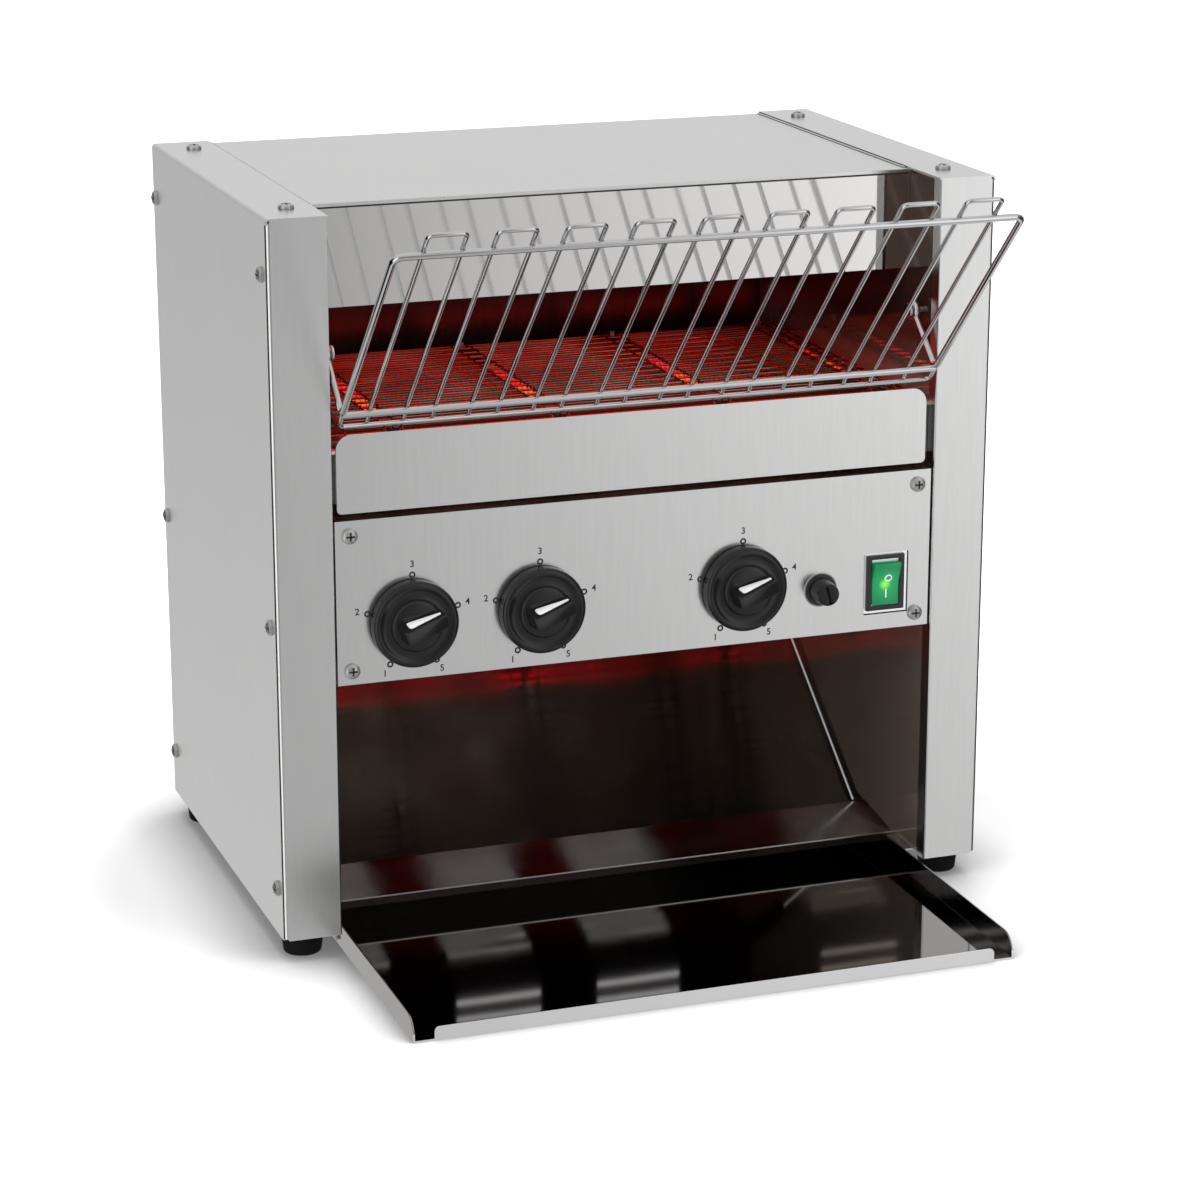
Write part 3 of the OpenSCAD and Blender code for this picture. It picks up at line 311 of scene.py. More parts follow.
def ring(major, minor, place, turn, sides, wire_sides):
    """A ring of round wire, radii in millimetres, at a place in metres, its axis turned from Z."""
    deselect()
    bpy.ops.mesh.primitive_torus_add(
        major_radius=major * MM, minor_radius=minor * MM, major_segments=sides,
        minor_segments=wire_sides, location=place, rotation=turn)
    bpy.ops.object.transform_apply(location=True, rotation=True, scale=True)
    return bpy.context.object


# ---------------------------------------------------------------- materials

class Finish:
    """A procedural material in object coordinates, with one Principled shader."""

    def __init__(self, name, colour, metallic=0.0, roughness=0.4):
        stand_in = bpy.data.materials.get(name)
        if stand_in:
            bpy.data.materials.remove(stand_in)
        self.mat = bpy.data.materials.new(name)
        if self.mat.name != name:
            raise RuntimeError("the material " + name + " is there already")
        self.mat.use_nodes = True
        self.tree = self.mat.node_tree
        self.shader = self.tree.nodes["Principled BSDF"]
        self.set("Base Color", (*colour, 1))
        self.set("Metallic", metallic)
        self.set("Roughness", roughness)
        self.coords = self.tree.nodes.new("ShaderNodeTexCoord").outputs["Object"]

    def set(self, socket, value):
        """Gives a socket of the shader a constant."""
        self.shader.inputs[socket].default_value = value
        return self

    def link(self, output, socket):
        """Lets a node's output drive a socket of the shader."""
        self.tree.links.new(output, self.shader.inputs[socket])
        return self

    def noise(self, scale, stretch=(1, 1, 1), detail=3):
        """Noise of so many waves a metre, drawn out along the axes by stretch."""
        mapping = self.tree.nodes.new("ShaderNodeMapping")
        mapping.inputs["Scale"].default_value = [1 / s for s in stretch]
        self.tree.links.new(self.coords, mapping.inputs["Vector"])
        node = self.tree.nodes.new("ShaderNodeTexNoise")
        node.inputs["Scale"].default_value = scale
        node.inputs["Detail"].default_value = detail
        self.tree.links.new(mapping.outputs["Vector"], node.inputs["Vector"])
        return node.outputs[0]

    def ranged(self, value, low, high, start=0.3, end=0.7):
        """value between start and end, mapped to low and high."""
        node = self.tree.nodes.new("ShaderNodeMapRange")
        for socket, number in zip(RANGE, (start, end, low, high)):
            node.inputs[socket].default_value = number
        self.tree.links.new(value, node.inputs["Value"])
        return node.outputs["Result"]

    def ramp(self, value, *stops):
        """A colour ramp of (place, colour) stops."""
        node = self.tree.nodes.new("ShaderNodeValToRGB")
        elements = node.color_ramp.elements
        while len(elements) < len(stops):
            elements.new(0.5)
        for element, (place, colour) in zip(elements, stops):
            element.position = place
            element.color = (*colour, 1)
        self.tree.links.new(value, node.inputs["Fac"])
        return node.outputs["Color"]

    def blended(self, a, b, share):
        """share of a and the rest of b."""
        node = self.tree.nodes.new("ShaderNodeMix")
        node.inputs["Factor"].default_value = share
        self.tree.links.new(b, node.inputs["A"])
        self.tree.links.new(a, node.inputs["B"])
        return node.outputs["Result"]

    def tints(self, kind, share, a, b):
        """Colours a and b mixed in a way such as MIX or MULTIPLY, by a share."""
        node = self.tree.nodes.new("ShaderNodeMix")
        node.data_type = "RGBA"
        node.blend_type = kind
        if isinstance(share, float):
            node.inputs[0].default_value = share
        else:
            self.tree.links.new(share, node.inputs[0])
        self.tree.links.new(a, node.inputs[6])
        self.tree.links.new(b, node.inputs[7])
        return node.outputs[2]

    def along(self, axis, start, end):
        """How far along an axis a point lies: 0 at start, 1 at end, in the casing's millimetres."""
        axes = self.tree.nodes.new("ShaderNodeSeparateXYZ")
        self.tree.links.new(self.coords, axes.inputs[0])
        zero = ORIGIN["XYZ".index(axis)]
        return self.ranged(axes.outputs[axis], 0, 1, zero + start * MM, zero + end * MM)

    def bump(self, value, depth, strength):
        """Raises the surface by value; depth in millimetres."""
        node = self.tree.nodes.new("ShaderNodeBump")
        node.inputs["Strength"].default_value = strength
        node.inputs["Distance"].default_value = depth * MM
        self.tree.links.new(value, node.inputs["Height"])
        return self.link(node.outputs["Normal"], "Normal")


def tinted(colour, share):
    """A colour made darker or lighter by a share."""
    return tuple(min(1, c * share) for c in colour)


def brushed(name, colour, roughness, along, other=None):
    """Satin sheet steel brushed along one axis; other is (axis, start, end, colour before start)."""
    made = Finish(name, colour, 1.0, roughness)
    tone, grain = 0.015, 0.008
    stretch = [1, 1, 1]
    stretch[along] = 60
    lines = made.noise(2200, stretch, 2)
    stretch[along] = 14
    streaks = made.blended(made.noise(420, stretch, 3), made.noise(7, detail=4), 0.55)
    made.link(made.ranged(lines, roughness - tone, roughness + tone), "Roughness")
    sheet = made.ramp(streaks, (0.35, tinted(colour, 0.98)), (0.65, tinted(colour, 1.015)))
    if other:
        *place, shade = other
        part = made.ramp(streaks, (0.35, tinted(shade, 0.8)), (0.65, tinted(shade, 1.2)))
        sheet = made.tints("MIX", made.along(*place), part, sheet)
    return made.link(sheet, "Base Color").bump(lines, grain, 0.35)


def polished(name, colour, roughness, other=None, matt=None):
    """Mirror steel with faint wipe marks; other as for brushed, matt is the roughness there."""
    made = Finish(name, colour, 1.0, roughness)
    wipes = made.noise(22, (1, 1, 3), 5)
    gloss = made.ranged(wipes, roughness * 0.5, roughness * 2.2)
    sheet = made.ramp(wipes, (0.2, tinted(colour, 0.94)), (0.8, colour))
    if other:
        *place, shade = other
        share = made.along(*place)
        part = made.ramp(wipes, (0.2, tinted(shade, 0.94)), (0.8, shade))
        sheet = made.tints("MIX", share, part, sheet)
        if matt:
            gloss = made.ranged(share, matt, roughness, 0, 1)
    made.link(gloss, "Roughness")
    made.link(sheet, "Base Color")
    return made.bump(made.noise(14, detail=1), 0.12, 0.25)


def worn(name, colour, metallic, roughness, scale=400, depth=0.02, spread=0.08, shade=0.85):
    """A plain finish with fine grain: cast, moulded, plated or painted."""
    made = Finish(name, colour, metallic, roughness)
    grain = made.noise(scale, detail=4)
    clouds = made.noise(scale / 18, detail=3)
    made.link(made.ranged(clouds, roughness - spread, roughness + spread), "Roughness")
    made.link(made.ramp(clouds, (0.25, tinted(colour, shade)), (0.75, colour)), "Base Color")
    return made.bump(grain, depth, 0.5)


def heated(name, colour, tint, roughness):
    """Wire or sheet that the heat has tinted in patches."""
    made = Finish(name, colour, 1.0, roughness)
    patches = made.noise(26, detail=5)
    made.link(made.ramp(patches, (0.3, colour), (0.52, tint), (0.75, tinted(colour, 0.8))), "Base Color")
    made.link(made.ranged(patches, roughness - 0.08, roughness + 0.12), "Roughness")
    return made.bump(made.noise(900), 0.02, 0.5)


def glowing(name, strength, *stops):
    """Quartz tubes lit from their coils: a colour for each depth in mm, in bright and dark bands."""
    made = Finish(name, (0.2, 0.02, 0.015), 0.0, 0.12)
    near, far = 40, 260
    row = made.ramp(made.along("Y", near, far), *(((y - near) / (far - near), hot) for y, hot in stops))
    bands = made.tree.nodes.new("ShaderNodeTexWave")
    bands.bands_direction = "X"
    bands.inputs["Scale"].default_value = 100
    bands.inputs["Distortion"].default_value = 0.4
    made.tree.links.new(made.coords, bands.inputs["Vector"])
    coil = made.ramp(bands.outputs["Fac"], (0.0, (0.4, 0.3, 0.3)), (0.6, (1, 1, 1)))
    made.link(made.tints("MULTIPLY", 1.0, row, coil), "Emission Color")
    return made.set("Emission Strength", strength).set("Coat Weight", 0.6)


def make_finishes(settings):
    """One material for each slot of the record, and those some pieces and marks have instead."""
    panel_roughness = settings.roughness - 0.02
    brushed("brushed_steel", SATIN, settings.roughness, 2)
    brushed("top_steel", SATIN, settings.roughness, 1)
    brushed("panel_steel", SATIN, panel_roughness, 2)
    polished("mirror_steel", (0.74, 0.73, 0.72), 0.035)
    # painted shade: the back panel's inside and the guard plate's end tabs are darker; the inner walls'
    # upper half is darker as a painted dark reflection
    brushed("back_steel", (0.75, 0.75, 0.745), panel_roughness, 2,
            other=("Y", 274.2, 274.4, (0.09, 0.068, 0.068)))
    brushed("guard_steel", SATIN, panel_roughness, 2, other=("Y", 7.5, 6.7, (0.26, 0.26, 0.26)))
    walls = polished("wall_mirror", (0.6, 0.5, 0.42), 0.04, other=("Z", 315, 285, (0.13, 0.075, 0.055)))
    walls.set("Metallic", 0.8)
    polished("chute_mirror", (0.5, 0.485, 0.47), 0.09)
    # painted highlight: the tray's rolled front lip is white and rougher
    polished("tray_mirror", (0.37, 0.36, 0.35), 0.05, other=("Y", -129.6, -129.5, (1, 1, 1)), matt=0.3)
    brushed("plain_steel", (0.6, 0.6, 0.6), 0.42, 0)
    polished("chrome_wire", (0.66, 0.66, 0.67), 0.1)
    heated("belt_steel", (0.42, 0.33, 0.3), (0.3, 0.2, 0.17), 0.17)
    heated("heated_and_shaded_steel", (0.4, 0.34, 0.3), (0.32, 0.24, 0.2), 0.3)
    brushed("shaft_steel", (0.6, 0.6, 0.6), 0.28, 0)
    worn("sprocket_steel", (0.16, 0.155, 0.15), 1.0, 0.42)
    worn("chain_steel", (0.3, 0.29, 0.27), 1.0, 0.33, 600)
    worn("bronze", (0.66, 0.42, 0.2), 1.0, 0.34)
    glowing("quartz", settings.glow, (76, (0.4, 0.02, 0.006)), (116, (1.0, 0.045, 0.012)),
            (156, (0.9, 0.025, 0.012)), (196, (0.15, 0.003, 0.004)), (236, (0.24, 0.003, 0.012)))
    glowing("lower_quartz", settings.glow / 3, (56, (0.01, 0.001, 0.001)), (110, (0.03, 0.003, 0.001)),
            (138, (1.0, 0.09, 0.012)), (160, (0.9, 0.015, 0.012)), (190, (0.8, 0.01, 0.02)))
    worn("ceramic", (0.82, 0.79, 0.72), 0.0, 0.62, 500, 0.03)
    worn("blanket", (0.8, 0.79, 0.76), 0.0, 0.95, 260, 0.4, 0.03)
    heated("guard_wire", (0.42, 0.38, 0.36), (0.3, 0.24, 0.22), 0.34)
    worn("motor_paint", (0.12, 0.13, 0.15), 0.0, 0.45, 700, 0.03)
    worn("regulator_body", (0.62, 0.56, 0.42), 0.0, 0.5, 300)
    worn("controller_board", (0.03, 0.2, 0.09), 0.0, 0.38, 160, 0.05)
    worn("knob_black", (0.01, 0.01, 0.011), 0.0, 0.2, 900, 0.006, 0.04).set(SHEEN, 0.36)
    worn("pointer_white", (0.86, 0.86, 0.84), 0.0, 0.4, 900, 0.01, 0.05, 0.95)
    worn("fuse_black", (0.02, 0.02, 0.021), 0.0, 0.35, 900, 0.012, 0.05)
    worn("fuse_cap_black", (0.009, 0.009, 0.01), 0.0, 0.26, 900, 0.012, 0.05).set(SHEEN, 0.3)
    worn("switch_black", (0.022, 0.022, 0.023), 0.0, 0.42, 1200, 0.015, 0.05).set(SHEEN, 0.4)
    worn("terminal_plastic", (0.74, 0.72, 0.66), 0.0, 0.45, 500)
    worn("gland_black", (0.025, 0.025, 0.026), 0.0, 0.5, 700)
    worn("foot_rubber", (0.006, 0.006, 0.006), 0.0, 0.78, 500, 0.05).set(SHEEN, 0.15)
    worn("zinc_screws", (0.56, 0.56, 0.55), 0.9, 0.36, 900, 0.01, 0.06)
    # painted highlight: near-white metal that also glows a little, for the top's hem, the chute's rims
    # and the switch's lip
    bright = worn("painted_highlight_edge", (0.95, 0.95, 0.94), 1.0, 0.4, 900, 0.005, 0.04)
    bright.set("Emission Color", (1, 1, 1, 1)).set("Emission Strength", 0.3)
    # print on the dials, and also the painted shade in the top's joints, the screws' recesses and beside
    # the switch
    worn("print_and_shade_grey", (0.035, 0.035, 0.037), 0.0, 0.6, 900, 0.002).set(SHEEN, 0.2)
    worn("print_white", (0.85, 0.88, 0.85), 0.0, 0.5, 900, 0.002)
    lit = Finish("rocker_green", (0.004, 0.13, 0.045), 0.0, 0.14)
    lamp = lit.tree.nodes.new("ShaderNodeVectorMath")
    lamp.operation = "DISTANCE"
    lamp.inputs[1].default_value = casing(151.6, -0.8, 176)
    lit.tree.links.new(lit.coords, lamp.inputs[0])
    glow = lit.ranged(lamp.outputs["Value"], 1.0, 0.0, 0.0006, 0.012)
    greens = (0.0, (0.0, 0.09, 0.03)), (0.7, (0.0, 0.24, 0.07)), (1.0, (0.3, 0.9, 0.03))
    lit.link(lit.ramp(glow, *greens), "Emission Color")
    lit.set("Emission Strength", 1.0).set("Coat Weight", 0.25)


# ---------------------------------------------------------------- settings

class ToasterSettings(bpy.types.PropertyGroup):
    """Sizes and strengths that the looks are built from."""

    edge: FloatProperty(
        name="Edge", description="Bevel on the edges of sheet metal", default=0.22 * MM,
        min=0.05 * MM, max=0.4 * MM, unit="LENGTH")
    fold: FloatProperty(
        name="Fold", description="Radius of the pillars' inner fold", default=1.1 * MM,
        min=0.3 * MM, max=1.15 * MM, unit="LENGTH")
    frame_wire: FloatProperty(
        name="Frame wire", description="Diameter of the feed rack's frame wire", default=4 * MM,
        min=3.5 * MM, max=4 * MM, unit="LENGTH")
    loop_wire: FloatProperty(
        name="Loop wire", description="Diameter of the feed rack's loops", default=2.6 * MM,
        min=2 * MM, max=2.6 * MM, unit="LENGTH")
    belt_wire: FloatProperty(
        name="Belt wire", description="Diameter of the belt's rods", default=1.5 * MM,
        min=1.2 * MM, max=2.2 * MM, unit="LENGTH")
    belt_strands: IntProperty(
        name="Belt strands", description="Strands between one rod of the belt and the next", default=1,
        min=0, max=2)
    roughness: FloatProperty(
        name="Satin", description="Roughness of the brushed panels", default=0.25, min=0.15, max=0.6,
        subtype="FACTOR")
    glow: FloatProperty(
        name="Glow", description="Strength of the heating elements' light", default=4.5, min=0, max=20)


class ToasterOperator:
    """What the operators share."""

    bl_options = {"REGISTER", "UNDO"}

    def execute(self, context):
        self.build(context.scene.toaster)
        deselect()
        return {"FINISHED"}


class TOASTER_OT_finishes(ToasterOperator, bpy.types.Operator):
    """Makes the materials and gives each CAD node the finish of its slot"""

    bl_idname = "toaster.finishes"
    bl_label = "Finishes"

    def build(self, settings):
        make_finishes(settings)
        for name, node in frame["nodes"].items():
            if name not in NODE_SLOTS:
                raise RuntimeError("no finish for " + name)
            finish(node, NODE_SLOTS[name], OWN_FINISH.get(name))


# The finish of each CAD node
NODE_SLOTS = {}
for _slot, _nodes in {
    "brushed_steel": "left_side_panel right_side_panel top_panel",
    "panel_steel": "back_panel control_panel guard_plate",
    "mirror_steel": "left_inner_wall right_inner_wall front_apron chute tray upper_reflector"
                    " lower_reflector",
    "plain_steel": "left_front_post right_front_post control_box tray_runners belt_rails",
    "chrome_wire": "feed_rack rack_pivot_studs",
    "belt_steel": "wire_belt",
    "shaft_steel": "front_shaft rear_shaft bottom_spindle top_spindle speed_spindle",
    "sprocket_steel": "front_sprockets rear_sprockets motor_sprocket drive_sprocket",
    "chain_steel": "drive_chain",
    "bronze": "shaft_bushes",
    "quartz": "upper_elements lower_elements",
    "ceramic": "element_end_caps",
    "blanket": "top_insulation",
    "guard_wire": "element_guard",
    "motor_paint": "gear_motor",
    "regulator_body": "bottom_regulator top_regulator",
    "controller_board": "speed_controller",
    "knob_black": "bottom_knob top_knob speed_knob",
    "pointer_white": "bottom_pointer top_pointer speed_pointer",
    "fuse_black": "fuse_holder",
    "fuse_cap_black": "fuse_cap",
    "switch_black": "switch_body",
    "rocker_green": "switch_rocker",
    "terminal_plastic": "terminal_block",
    "gland_black": "cable_gland",
    "foot_rubber": "feet",
    "zinc_screws": "left_side_screws right_side_screws top_screws panel_screws back_screws",
}.items():
    for _node in _nodes.split():
        NODE_SLOTS[_node] = _slot

# CAD nodes whose own shape is kept, with its edges broken: width in millimetres
BROKEN_EDGES = {
    "control_panel": 0.22, "guard_plate": 0.22, "front_apron": 0.22, "back_panel": 0.22,
    "chute": 0.2, "tray": 0.2, "left_inner_wall": 0.2, "right_inner_wall": 0.2, "top_panel": 0.25,
    "control_box": 0.2, "belt_rails": 0.2, "tray_runners": 0.2, "upper_reflector": 0.2,
    "lower_reflector": 0.2, "left_front_post": 0.2, "right_front_post": 0.2,
    "gear_motor": 0.8, "terminal_block": 0.5, "bottom_regulator": 0.6, "top_regulator": 0.6,
    "rack_pivot_studs": 0.4, "fuse_holder": 0.35, "front_shaft": 0.5, "rear_shaft": 0.5,
    "element_end_caps": 0.6, "shaft_bushes": 0.3, "front_sprockets": 0.25, "rear_sprockets": 0.25,
}

# Pieces whose finish differs from the one of their slot
OWN_FINISH = {
    "top_panel": "top_steel", "lower_reflector": "heated_and_shaded_steel", "upper_reflector": "heated_and_shaded_steel",
    "chute": "chute_mirror", "tray": "tray_mirror", "left_inner_wall": "wall_mirror",
    "right_inner_wall": "wall_mirror", "control_box": "heated_and_shaded_steel", "lower_elements": "lower_quartz",
    # the front posts take the dark heated steel as painted shade, where they show in the gaps beside the
    # guard plate
    "back_panel": "back_steel", "guard_plate": "guard_steel", "left_front_post": "heated_and_shaded_steel",
    "right_front_post": "heated_and_shaded_steel",
}


class TOASTER_OT_sheet_metal(ToasterOperator, bpy.types.Operator):
    """Breaks the edges of the sheet metal and the moulded housings, and rounds the pillars' folds"""

    bl_idname = "toaster.sheet_metal"
    bl_label = "Sheet metal and housings"

    def build(self, settings):
        for side, fold in (("left", -FOLD_X * MM), ("right", FOLD_X * MM)):
            node = side + "_side_panel"
            piece = node_copy(node)
            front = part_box(node)[0].y
            pick_edges(piece, lambda a, b: all(
                abs(p.x - fold) < 1e-5 and abs(p.y - front) < 1e-5 for p in (a, b))
                and abs(a.z - b.z) > 1e-3)
            bpy.ops.mesh.bevel(offset=settings.fold, segments=5, affect="EDGES")
            bpy.ops.object.mode_set(mode="OBJECT")
            rounded(piece, settings.edge / MM)
            finished(faired(piece), side + "_casing_side", body_of_node(node), "brushed_steel", node)
        for node, width in BROKEN_EDGES.items():
            piece = faired(rounded(node_copy(node), width))
            finished(piece, node + "_skin", body_of_node(node), NODE_SLOTS[node], node,
                     material=OWN_FINISH.get(node))
        self.top_trim()
        self.chute_rims()

    def top_trim(self):
        """The top panel's hem with a painted highlight, a rim along each side, and painted shade in the
        joints beside them.
        """
        half, rim_x, level = FOLD_X - 0.3, 179.6, CASING_H - 2
        ends = [(side * half, APRON_Y + 0.1, level + 0.1) for side in (-1, 1)]
        finished(smoothed(wire(ends, 1.4, 0, 16), 60), "top_panel_hem", "cabinet", "brushed_steel",
                 material="painted_highlight_edge")
        # painted shade: dark boxes along the joint between the top panel and the apron, and in the
        # grooves beside each rim
        gap_shades = [box((-half, -0.25, -2.4), (half, 0.1, -0.7))]
        for name, side in (("left", -1), ("right", 1)):
            ends = [(side * rim_x, y, level + 0.9) for y in (46.5, 273.2)]
            finished(smoothed(wire(ends, 1.3, 0), 60), name + "_top_rim", "cabinet", "brushed_steel",
                     material="top_steel")
            for low, high, tall in ((178.3, 178.9, 0.9), (180.3, 181.45, 1.9)):
                start, end = sorted((side * low, side * high))
                gap_shades.append(box((start, 1.5, 0.7), (end, 228, tall)))
        gap_shade = moved(joined(gap_shades, "top_panel_gap_shade"), Matrix.Translation(casing(0, APRON_Y, level)))
        finished(gap_shade, "top_panel_gap_shade", "cabinet", "brushed_steel", material="print_and_shade_grey")

    def chute_rims(self):
        """The edges of the chute's side flanges along its slope, with a painted highlight."""
        rim_x, near, far, foot = 181.6, 106, 214, 2.6
        head = foot + (far - near) * math.tan(math.radians(CHUTE_SLOPE))
        rims = [wire([(side * rim_x, near, foot), (side * rim_x, far, head)], 1.3, 0, 10)
                for side in (-1, 1)]
        finished(smoothed(joined(rims, "chute_rims"), 60), "chute_rims", "cabinet", "mirror_steel",
                 material="painted_highlight_edge")


class TOASTER_OT_feed_rack(ToasterOperator, bpy.types.Operator):
    """The folding feed rack: bent frame, ledge, nine loops and the eyes on their studs"""

    bl_idname = "toaster.feed_rack"
    bl_label = "Feed rack"

    def build(self, settings):
        thick, thin = settings.frame_wire / MM, settings.loop_wire / MM
        half, eye = 177, 4.3
        low, ledge, pivot = Vector((-7, 305)), Vector((1, 297)), Vector((24, 333))
        slope = math.radians(45)
        up = Vector((-math.cos(slope), math.sin(slope)))
        top = low + up * 150
        arm = (pivot - low).normalized()
        lift = Vector((1, 1)) * 1.909
        parts = []
        frame_path = [low + arm * ((pivot - low).length - eye), low, top]
        path = [(-half, *p) for p in frame_path] + [(half, *p) for p in reversed(frame_path)]
        parts.append(wire(path, thick - 0.1, 5))
        parts.append(wire([(-half, *low), (half, *low)], thick, 0))
        parts.append(wire([(-half, *low), (-half, *ledge), (half, *ledge), (half, *low)], thin + 0.1, 3))
        for side in (-1, 1):
            parts.append(ring(eye, thick / 2, casing(side * half, *pivot), (0, QUARTER, 0), 32, 12))
        loops, spacing, half_loop = 9, 37.6, 10.5
        leg = [ledge + Vector((0, 2.0)), low + lift, top + lift + up * 14]
        for i in range(loops):
            centre = (i - (loops - 1) / 2) * spacing
            path = [(centre - half_loop, *p) for p in leg]
            path += [(centre + half_loop, *p) for p in reversed(leg)]
            parts.append(wire(path, thin, 3))
        piece = smoothed(joined(parts, "feed_rack_wires"), 50)
        finished(piece, "feed_rack_wires", "rack", "chrome_wire", "feed_rack")


class TOASTER_OT_wire_belt(ToasterOperator, bpy.types.Operator):
    """The wire belt: one pitch is modelled once and copied round both rollers"""

    bl_idname = "toaster.wire_belt"
    bl_label = "Wire belt"

    def build(self, settings):
        rods, teeth, pitch, width = 39, 8, 12.0, 336
        radius = teeth * pitch / (2 * math.pi)
        run = (rods - teeth) * pitch / 2
        near = Vector((28, 273))
        thick = settings.belt_wire / MM

        def place(s):
            """Middle of the rod at length s along the belt, as (y, z)."""
            s %= rods * pitch
            arc = math.pi * radius
            if s < run:
                return near + Vector((s, radius))
            if s < run + arc:
                turn = (s - run) / radius
                return near + Vector((run + radius * math.sin(turn), radius * math.cos(turn)))
            if s < 2 * run + arc:
                return near + Vector((run - (s - run - arc), -radius))
            turn = (s - 2 * run - arc) / radius
            return near + Vector((-radius * math.sin(turn), -radius * math.cos(turn)))

        # one pitch about the origin: the rod lies along X, the next one is at +Y
        lanes = [x + side for x in (-138.75, -40.25, 58.25, 156.75) for side in (-5, 5)]
        ends = [1 - width / 2, *lanes, width / 2 - 1]
        parts = [self.bar(-width / 2, width / 2, 0, thick)]
        strands = settings.belt_strands
        for i in range(strands):
            for low, high in zip(ends[::2], ends[1::2]):
                parts.append(self.bar(low, high, pitch * (i + 1) / (strands + 1), thick - 0.2))
        for x in ends:
            link = self.bar(0.4, pitch - 0.4, 0, 1.5)
            aside = Matrix.Translation((x * MM, 0, 0))
            parts.append(moved(link, aside @ Matrix.Rotation(QUARTER, 4, "Z")))
            parts.append(ring(1.3, 0.5, (x * MM, 0, 0), (0, QUARTER, 0), 8, 4))
        unit = smoothed(joined(parts, "belt_pitch"), 50)
        copies = []
        for i in range(rods):
            here, there = place(i * pitch), place((i + 1) * pitch)
            step = there - here
            turn = Matrix.Rotation(math.atan2(step.y, step.x), 4, "X")
            copies.append(twin(unit, Matrix.Translation(casing(0, *here)) @ turn))
        bpy.data.objects.remove(unit)
        finished(joined(copies, "wire_belt_mesh"), "wire_belt_mesh", "cabinet", "belt_steel", "wire_belt")

    def bar(self, low, high, y, thick):
        """A straight rod along X, its ends broken."""
        deselect()
        bpy.ops.mesh.primitive_cylinder_add(
            vertices=8, radius=thick / 2 * MM, depth=(high - low) * MM,
            location=((low + high) / 2 * MM, y * MM, 0), rotation=(0, QUARTER, 0))
        bpy.ops.object.transform_apply(location=True, rotation=True, scale=True)
        return rounded(bpy.context.object, 0.3, 1, 60)


class TOASTER_OT_dials(ToasterOperator, bpy.types.Operator):
    """The three knobs with their pointers, and the ring marks and numerals round them"""

    bl_idname = "toaster.dials"
    bl_label = "Dials"

    def build(self, settings):
        knob = self.knob()
        pointer = self.pointer()
        marks = []
        for dial, (x, z) in DIALS.items():
            out = (Matrix.Translation(casing(x, PANEL_Y - 0.8, z)) @ Matrix.Rotation(QUARTER, 4, "X")
                   @ Matrix.Rotation(math.radians(15), 4, "Z"))
            body = dial + "_dial"
            finished(twin(knob, out), dial + "_knob_grip", body, "knob_black", dial + "_knob")
            finished(twin(pointer, out), dial + "_pointer_insert", body, "pointer_white",
                     dial + "_pointer")
            marks += self.marks(x, z)
        for obj in (knob, pointer):
            bpy.data.objects.remove(obj)
        finished(joined(marks, "dial_marks"), "dial_marks", "cabinet", "zinc_screws",
                 material="print_and_shade_grey")

    def knob(self):
        """Skirt with a rolled rim, a low boss, and a grip that falls towards its nose."""
        skirt = turned([
            (24.2, 0.0), (25.0, 0.7), (25.0, 5.2), (24.8, 6.3), (24.2, 7.2), (23.2, 7.8), (22.2, 7.95),
            (21.2, 7.75), (20.4, 7.3), (18.8, 7.1), (16.4, 7.15), (15.4, 7.4), (15.0, 8.2), (14.7, 9.2),
            (14.0, 9.8), (12.8, 10.0), (6.0, 10.05)], 72)
        smoothed(skirt, 40)
        grip = box((-11.4, -5.0, 6.0), (16.6, 5.0, 25.0))
        pick_faces(grip, lambda face: face.normal.z > 0.9)
        bpy.ops.transform.resize(value=(0.93, 0.78, 1), center_override=(1.5 * MM, 0, 25 * MM))
        pick_edges(grip, lambda a, b: min(a.x, b.x, a.z, b.z) > 10 * MM)
        bpy.ops.transform.translate(value=(0, 0, -7 * MM))
        pick_edges(grip, lambda a, b: min(a.x, b.x) > 10 * MM and abs(a.z - b.z) > 5 * MM)
        bpy.ops.mesh.bevel(offset=2.4 * MM, segments=5, affect="EDGES")
        bpy.ops.object.mode_set(mode="OBJECT")
        smoothed(rounded(grip, 0.7, 3), 40)
        return joined([skirt, grip], "knob")

    def pointer(self):
        """White wedge in the grip's upper side, wide and rounded at its back."""
        wedge = box((-6.8, -1.2, 0), (13.4, 0.28, 9.4))
        pick_faces(wedge, lambda face: face.normal.x > 0.9)
        bpy.ops.transform.resize(value=(1, 1, 0.14), center_override=(13.4 * MM, 0, 2.2 * MM))
        pick_edges(wedge, lambda a, b: max(a.x, b.x) < 0 and abs(a.y - b.y) > 1e-3)
        bpy.ops.mesh.bevel(offset=2 * MM, segments=5, affect="EDGES")
        bpy.ops.object.mode_set(mode="OBJECT")
        smoothed(rounded(wedge, 0.12), 40)
        draft = Matrix.Rotation(math.atan(1.1 / 19), 4, "X")
        return moved(wedge, Matrix.Translation(Vector((0, 4.7, 11.2)) * MM) @ draft)

    def marks(self, x, z):
        """Five flat rings, and the numerals 1 to 5 outside them."""
        made = []
        ring_radius, numeral_radius = 27.3, 33.4
        for number, angle in enumerate((-120, 165, 90, 15, -60), 1):
            turn = math.radians(angle)
            out = Vector((math.cos(turn), 0, math.sin(turn)))
            mark = casing(x, PANEL_Y, z) + out * ring_radius * MM
            made.append(ring(1.4, 0.52, mark, (QUARTER, 0, 0), 24, 6))
            bpy.ops.transform.resize(value=(1, 0.3, 1), center_override=mark)
            bpy.ops.object.text_add(rotation=(QUARTER, 0, 0))
            text = bpy.context.object
            text.data.body = str(number)
            text.data.size = 5.4 * MM
            text.data.offset = 0.07 * MM
            text.data.align_x = "CENTER"
            text.data.align_y = "CENTER"
            text.data.extrude = 0.04 * MM
            text.location = casing(x, PANEL_Y - 0.06, z) + out * numeral_radius * MM
            bpy.ops.object.convert(target="MESH")
            made.append(bpy.context.object)
        return made


